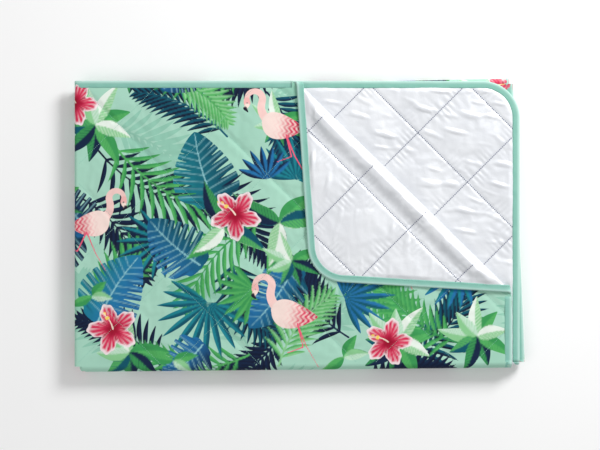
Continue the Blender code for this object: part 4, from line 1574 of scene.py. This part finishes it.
top_z = {side: MIDDLE_Z["top"] + side * MIDDLE_RADIUS for side in (1, -1)}
bottom_z = {side: MIDDLE_Z["bottom"] + side * MIDDLE_RADIUS for side in (1, -1)}
left_back = meet(LEFT_AXIS["top"], BACK_EDGE)
corner_place = meet(BACK_EDGE, SECOND_RIGHT)
arc_angle = np.linspace(0, QUARTER, 18)[:, None]
round_ways = np.concatenate([np.sin(arc_angle), np.cos(arc_angle)], axis=1)
second_arc = corner_place - CORNER_RADIUS + CORNER_RADIUS * round_ways
second_plan = run_round(left_back, second_arc, meet(SECOND_RIGHT, FRONT_AXIS))
path_top = joined(
    flat_run(run_between(meet(CREASE_AXIS, BACK_EDGE), left_back), top_z[1], 1),
    roll_run("top", left_back, True),
    flat_run(second_plan, top_z[-1], -1),
)
left_front = meet(LEFT_AXIS["bottom"], BOTTOM_FRONT)
front_arc = rounded(BOTTOM_FRONT, BOTTOM_RIGHT, CORNER_RADIUS, 18)
bottom_plan = run_round(left_front, front_arc, meet(BOTTOM_RIGHT, BACK_AXIS))
path_bottom = joined(
    flat_run(bottom_plan[::-1], bottom_z[-1], -1),
    roll_run("bottom", left_front, False),
    flat_run(bottom_plan, bottom_z[1], 1),
)
flap_arc = rounded(FLAP_BACK, FLAP_RIGHT, CORNER_RADIUS, 18)
flap_starts = [plan_of(crossing_t(edge, 0.0), 0.0) for edge in (FLAP_BACK, FLAP_RIGHT)]
flap_plan = run_round(flap_starts[0], flap_arc, flap_starts[1])
path_corner = joined(
    crease_run(BACK_EDGE, FLAP_BACK, True),
    flat_run(flap_plan, CREASE_Z + MIDDLE_RADIUS, 1),
    crease_run(TOP_RIGHT, FLAP_RIGHT, False),
)

# %% [markdown]
# Each tape rides one third, except at the crease and the folds, where it is made where it lies and tied to
# no body.

# %% Make the tapes
def ride_tape(made, body, *nodes):
    """The tape moves with one body and stands for these nodes of the frame."""
    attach(made, body)
    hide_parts(*nodes)


ride_tape(tape("tape_top_back_and_right", *path_top, 1), "top_third", "binding_top_back_and_right")
straight = flat_run(run_between(meet(TOP_RIGHT, FRONT_AXIS), meet(TOP_RIGHT, CREASE_AXIS)), top_z[1], 1)
ride_tape(tape("tape_top_layer_right", *straight, 2), "top_third", "binding_top_layer_right")
tape_bottom = tape("tape_bottom_front_and_right", *path_bottom, 3)
ride_tape(tape_bottom, "bottom_third", "binding_bottom_front_and_right")
middle_run = run_between(meet(MIDDLE_RIGHT, FRONT_AXIS), meet(MIDDLE_RIGHT, BACK_AXIS))
for label, side, seed in (("upper", 1, 4), ("lower", -1, 5)):
    run = flat_run(middle_run[::side], MIDDLE_Z["middle"] + side * MIDDLE_RADIUS, side)
    ride_tape(tape(f"tape_middle_{label}_right", *run, seed), "middle_third", f"binding_middle_{label}_right")
tape_corner = tape("tape_corner", *path_corner, 6)
blend_over_crease(tape_corner, -1.5 * MM, 0.3 * MM, slanted=True)
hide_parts("binding_corner", "binding_crease_back", "binding_crease_right")
for seed, (fold, which) in enumerate(WRAP_RIGHT):
    run = fold_run(fold, which, WRAP_RIGHT[fold, which], fold == "back")
    made = tape(f"tape_{fold}_{which}", *run, 7 + seed)
    blend_over_fold(made, fold, which)
    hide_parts(f"binding_{fold}_{which}_fold")

# %% [markdown]
# ## Stitches
# The quilting and the tape's seam are sewn with a running machine stitch. Each stitch is a tiny pillow of
# fourteen faces whose ends dive into the cloth. They are laid a few millimetres apart along the stitch
# lines, all in one mesh for each body they move with.

# %% Lay stitches along lines
STITCH_LONG, STITCH_APART, STITCH_THICK = 2.6 * MM, 3.5 * MM, 0.42 * MM
FILM_STITCH = 0.85 * MM  # a heavier thread is used on the film


def stitch_mesh(name, centres, along, up, material, slot, thickness=STITCH_THICK):
    """Four rings of four points for each stitch: thin and sunk at the ends, thick and raised between."""
    along = unit(along)
    side = unit(np.cross(up, along))
    up = np.cross(along, side)
    reach = np.array([-0.5, -0.28, 0.28, 0.5]) * STITCH_LONG
    thick = np.array([0.25, 1.0, 1.0, 0.25]) * thickness
    sink = np.array([-0.9, 0.35, 0.35, -0.9]) * thickness
    angle = np.arange(4) * QUARTER + QUARTER / 2
    rings = (
        centres[:, None, None] + along[:, None, None] * reach[None, :, None, None]
        + side[:, None, None] * (thick[:, None] * np.cos(angle))[None, ..., None]
        + up[:, None, None] * (thick[:, None] * np.sin(angle) + sink[:, None])[None, ..., None]
    )
    template = np.concatenate([grid_faces(4, 4, closed=True), [[0, 1, 2, 3], [15, 14, 13, 12]]])
    faces = (template[None] + 16 * np.arange(len(centres))[:, None, None]).reshape(-1, 4)
    made = piece(name, rings, faces, material)
    set_outwards(made)
    print(name, len(centres), "stitches")
    return made


def lattice_places(low, high):
    """Places every few millimetres along both families of stitch lines in a square, and their ways."""
    numbers = np.arange(math.floor(low / DIAMOND), math.ceil(high / DIAMOND) + 1) * DIAMOND
    steps = np.arange(low, high, STITCH_APART)
    a, b = np.meshgrid(numbers, steps)
    u = np.concatenate([a.ravel(), b.ravel()]) + STITCH_U
    v = np.concatenate([b.ravel(), a.ravel()]) + STITCH_V
    along_v = np.arange(2 * a.size) < a.size
    plan = u[:, None] * ALONG_U + v[:, None] * ALONG_V
    way = np.where(along_v[:, None], ALONG_V, ALONG_U)
    return plan, np.concatenate([way, np.zeros((len(way), 1))], axis=1)


def shifted(places, shift):
    """Places moved along the two directions of the stitches."""
    return places + shift[0] * ALONG_U + shift[1] * ALONG_V


def inside_layer(third, lower, plan, margin):
    """True where a layer is, away from its bound edges by a margin and from its folds a little."""
    edges, corner = bound_edges(third, lower)
    found = edge_distance(plan, edges, corner) > margin
    for edge in [LEFT_AXIS[third], *ENDS[third]]:
        found &= inwards_from(edge, plan) > 3 * MM
    return found


places, ways = lattice_places(-0.75, 0.75)
for third in THIRDS:
    centres, along, up = [], [], []
    for lower in (False, True):
        kept = inside_layer(third, lower, places, TAPE_WIDTH + 1 * MM)
        if (third, lower) == ("top", False):
            kept &= inwards_from(CREASE_AXIS, places) > 2 * MM
        plan = places[kept]
        side = -1 if lower else 1
        height = MIDDLE_Z[third] + side * (SKIN + print_relief(third, lower, plan) - 0.1 * MM)
        centres.append(at_height(plan, height))
        along.append(ways[kept])
        up.append(upright(plan, side))
    laid = (np.concatenate(x) for x in (centres, along, up))
    made = stitch_mesh(f"quilting_{third}", *laid, MINT_THREAD, "binding_tape")
    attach(made, f"{third}_third")

plan = shifted(places, SECOND_SHIFT)
kept = inside_layer("top", True, plan, TAPE_WIDTH) & (past_crease(plan) > 1 * MM)
plan = plan[kept]
height = MIDDLE_Z["top"] - INSIDE + film_relief("top", True, plan)
laid = (at_height(plan, height), ways[kept], upright(plan))
made = stitch_mesh("quilting_second_film", *laid, GREY_THREAD, "silver_backing", FILM_STITCH)
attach(made, "top_third")

plan = shifted(places, FLAP_SHIFT)
t, q = crease_place(plan)
kept = (flap_inside(plan) > TAPE_WIDTH) & (q > 0.5 * MM)
plan, t, q = plan[kept], t[kept], q[kept]
slope = (flap_lift(t, q, q < -1) - flap_lift(t, q - 1 * MM, q < -1)) / MM
along = ways[kept].copy()
along[:, 2] = (along[:, :2] @ Q_WAY) * slope
height = SKIN + flap_lift(t, q, q < -1)
laid = (from_crease(t, q, height), along, upright(plan))
made = stitch_mesh("quilting_corner_film", *laid, GREY_THREAD, "silver_backing", FILM_STITCH)
blend_over_crease(made, -0.5 * MM, 0.2 * MM)

# %% [markdown]
# The tape's seam runs two millimetres from its inner edge, on both wings.

# %% The tape's seam
def sample(values, run, at):
    """A path's values at distances along it."""
    return np.stack([np.interp(at, run, values[:, n]) for n in range(3)], axis=-1)


def seam_along(name, sources):
    """Stitches along tapes, by the distance run, on both wings."""
    centres, along_all, up_all = [], [], []
    for source in sources:
        path, through_way, inwards = TAPES[source]
        run = np.concatenate([[0], np.cumsum(np.linalg.norm(np.diff(path, axis=0), axis=1))])
        if run[-1] < 4 * STITCH_APART:
            continue
        at = np.arange(STITCH_APART, run[-1] - STITCH_APART / 2, STITCH_APART)
        middle, along = sample(path, run, at), unit(sample(np.gradient(path, axis=0), run, at))
        through_at, in_at = (unit(sample(way, run, at)) for way in (through_way, inwards))
        for wing in (1, -1):
            raised = wing * through_at * (TAPE_HALF - 0.12 * MM)
            centres.append(middle + in_at * (TAPE_WIDTH - 2.2 * MM) + raised)
            along_all.append(along)
            up_all.append(wing * through_at)
    laid = (np.concatenate(x) for x in (centres, along_all, up_all))
    return stitch_mesh(name, *laid, MINT_THREAD, "binding_tape")


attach(seam_along("seam_top", ["tape_top_back_and_right", "tape_top_layer_right"]), "top_third")
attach(seam_along("seam_middle", ["tape_middle_upper_right", "tape_middle_lower_right"]), "middle_third")
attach(seam_along("seam_bottom", ["tape_bottom_front_and_right"]), "bottom_third")
blend_over_crease(seam_along("seam_corner", ["tape_corner"]), -1.5 * MM, 0.3 * MM, slanted=True)

# %% [markdown]
# ## The flat size of the wraps' cloth
# Each wrap's printed and silver cloth gets a flat size from its area, which is printed. The blanket measures
# 1.5 by 1.5 m, so a third of a folded half is about 0.75 by 0.5 m, and a panel with its left roll is that
# much larger.

def surface_area(made):
    """The sum of a mesh's face areas."""
    mesh = made.data
    areas = np.zeros(len(mesh.polygons))
    mesh.polygons.foreach_get("area", areas)
    return float(areas.sum())


for fold in FOLDS:
    for which, radius in WRAP_RADII.items():
        side = 1 if which == "outer" else -1
        radii = (("printed", radius + side * LAYER / 2), ("silver", radius - side * LAYER / 2))
        for label, cloth_radius in radii:
            made = bpy.data.objects[f"{label}_{fold}_{which}"]
            width = math.pi * cloth_radius + (2 * WRAP_LEG if cloth_radius < 1 * MM else 0)
            length = surface_area(made) / width
            under = [f"wadding_pad_{fold}_{which}"]
            print(made.name, "flat", round(width / MM, 1), "by", round(length / MM), "mm")

# %% [markdown]
# ## The stage
# The blanket lies on a pale floor under soft light, seen from straight above. One large lamp is high to the
# upper right, so the hump of the crease is bright on top and shaded behind; a weaker one opposite fills the
# shadows, and the sky does the rest. The standard view keeps the cloth's colours as they were mixed.

# %% Floor, light and camera
def soft_lamp(name, place, size, power):
    """A round lamp that points at the blanket."""
    lamp = bpy.data.lights.new(name, "AREA")
    lamp.shape, lamp.size, lamp.energy = "DISK", size, power
    made = bpy.data.objects.new(name, lamp)
    made.location = place
    made.rotation_euler = (-Vector(place)).to_track_quat("-Z", "Y").to_euler()
    bpy.context.scene.collection.objects.link(made)


def plain_floor(side):
    """A flat square grid just under the blanket."""
    u = np.linspace(-side / 2, side / 2, 9)
    x, y = np.meshgrid(u, u)
    finish = Finish("studio_floor", 0.9)
    tone = finish.blended(finish.noise(finish.object_place(), 3.0), rgba(250, 250, 250), rgba(253, 253, 253))
    finish.feed("Base Color", tone)
    points = np.stack([x, y, np.full_like(x, -0.5 * MM)], axis=-1)
    return piece("studio_floor", points, grid_faces(9, 9), finish.material, upright(points))


plain_floor(12.0)
world = bpy.data.worlds.new("studio")
world.use_nodes = True
world.node_tree.nodes["Background"].inputs["Color"].default_value = (1.0, 1.0, 1.0, 1.0)
world.node_tree.nodes["Background"].inputs["Strength"].default_value = 0.45
scene = bpy.context.scene
scene.world = world
scene.view_settings.view_transform = "Standard"
soft_lamp("key_light", (1.6, 1.8, 1.5), 1.0, 70)
soft_lamp("fill_light", (-1.6, -0.9, 2.2), 2.0, 12)

IMAGE_WIDTH = 1.0368  # metres across the picture, at the floor
EYE_HEIGHT = 3.0
lens = bpy.data.cameras.new("camera")
lens.sensor_width = 36.0
lens.lens = lens.sensor_width * EYE_HEIGHT / IMAGE_WIDTH
camera = bpy.data.objects.new("camera", lens)
camera.location = (0.0, 0.0, EYE_HEIGHT + LAYER)
scene.collection.objects.link(camera)
scene.camera = camera
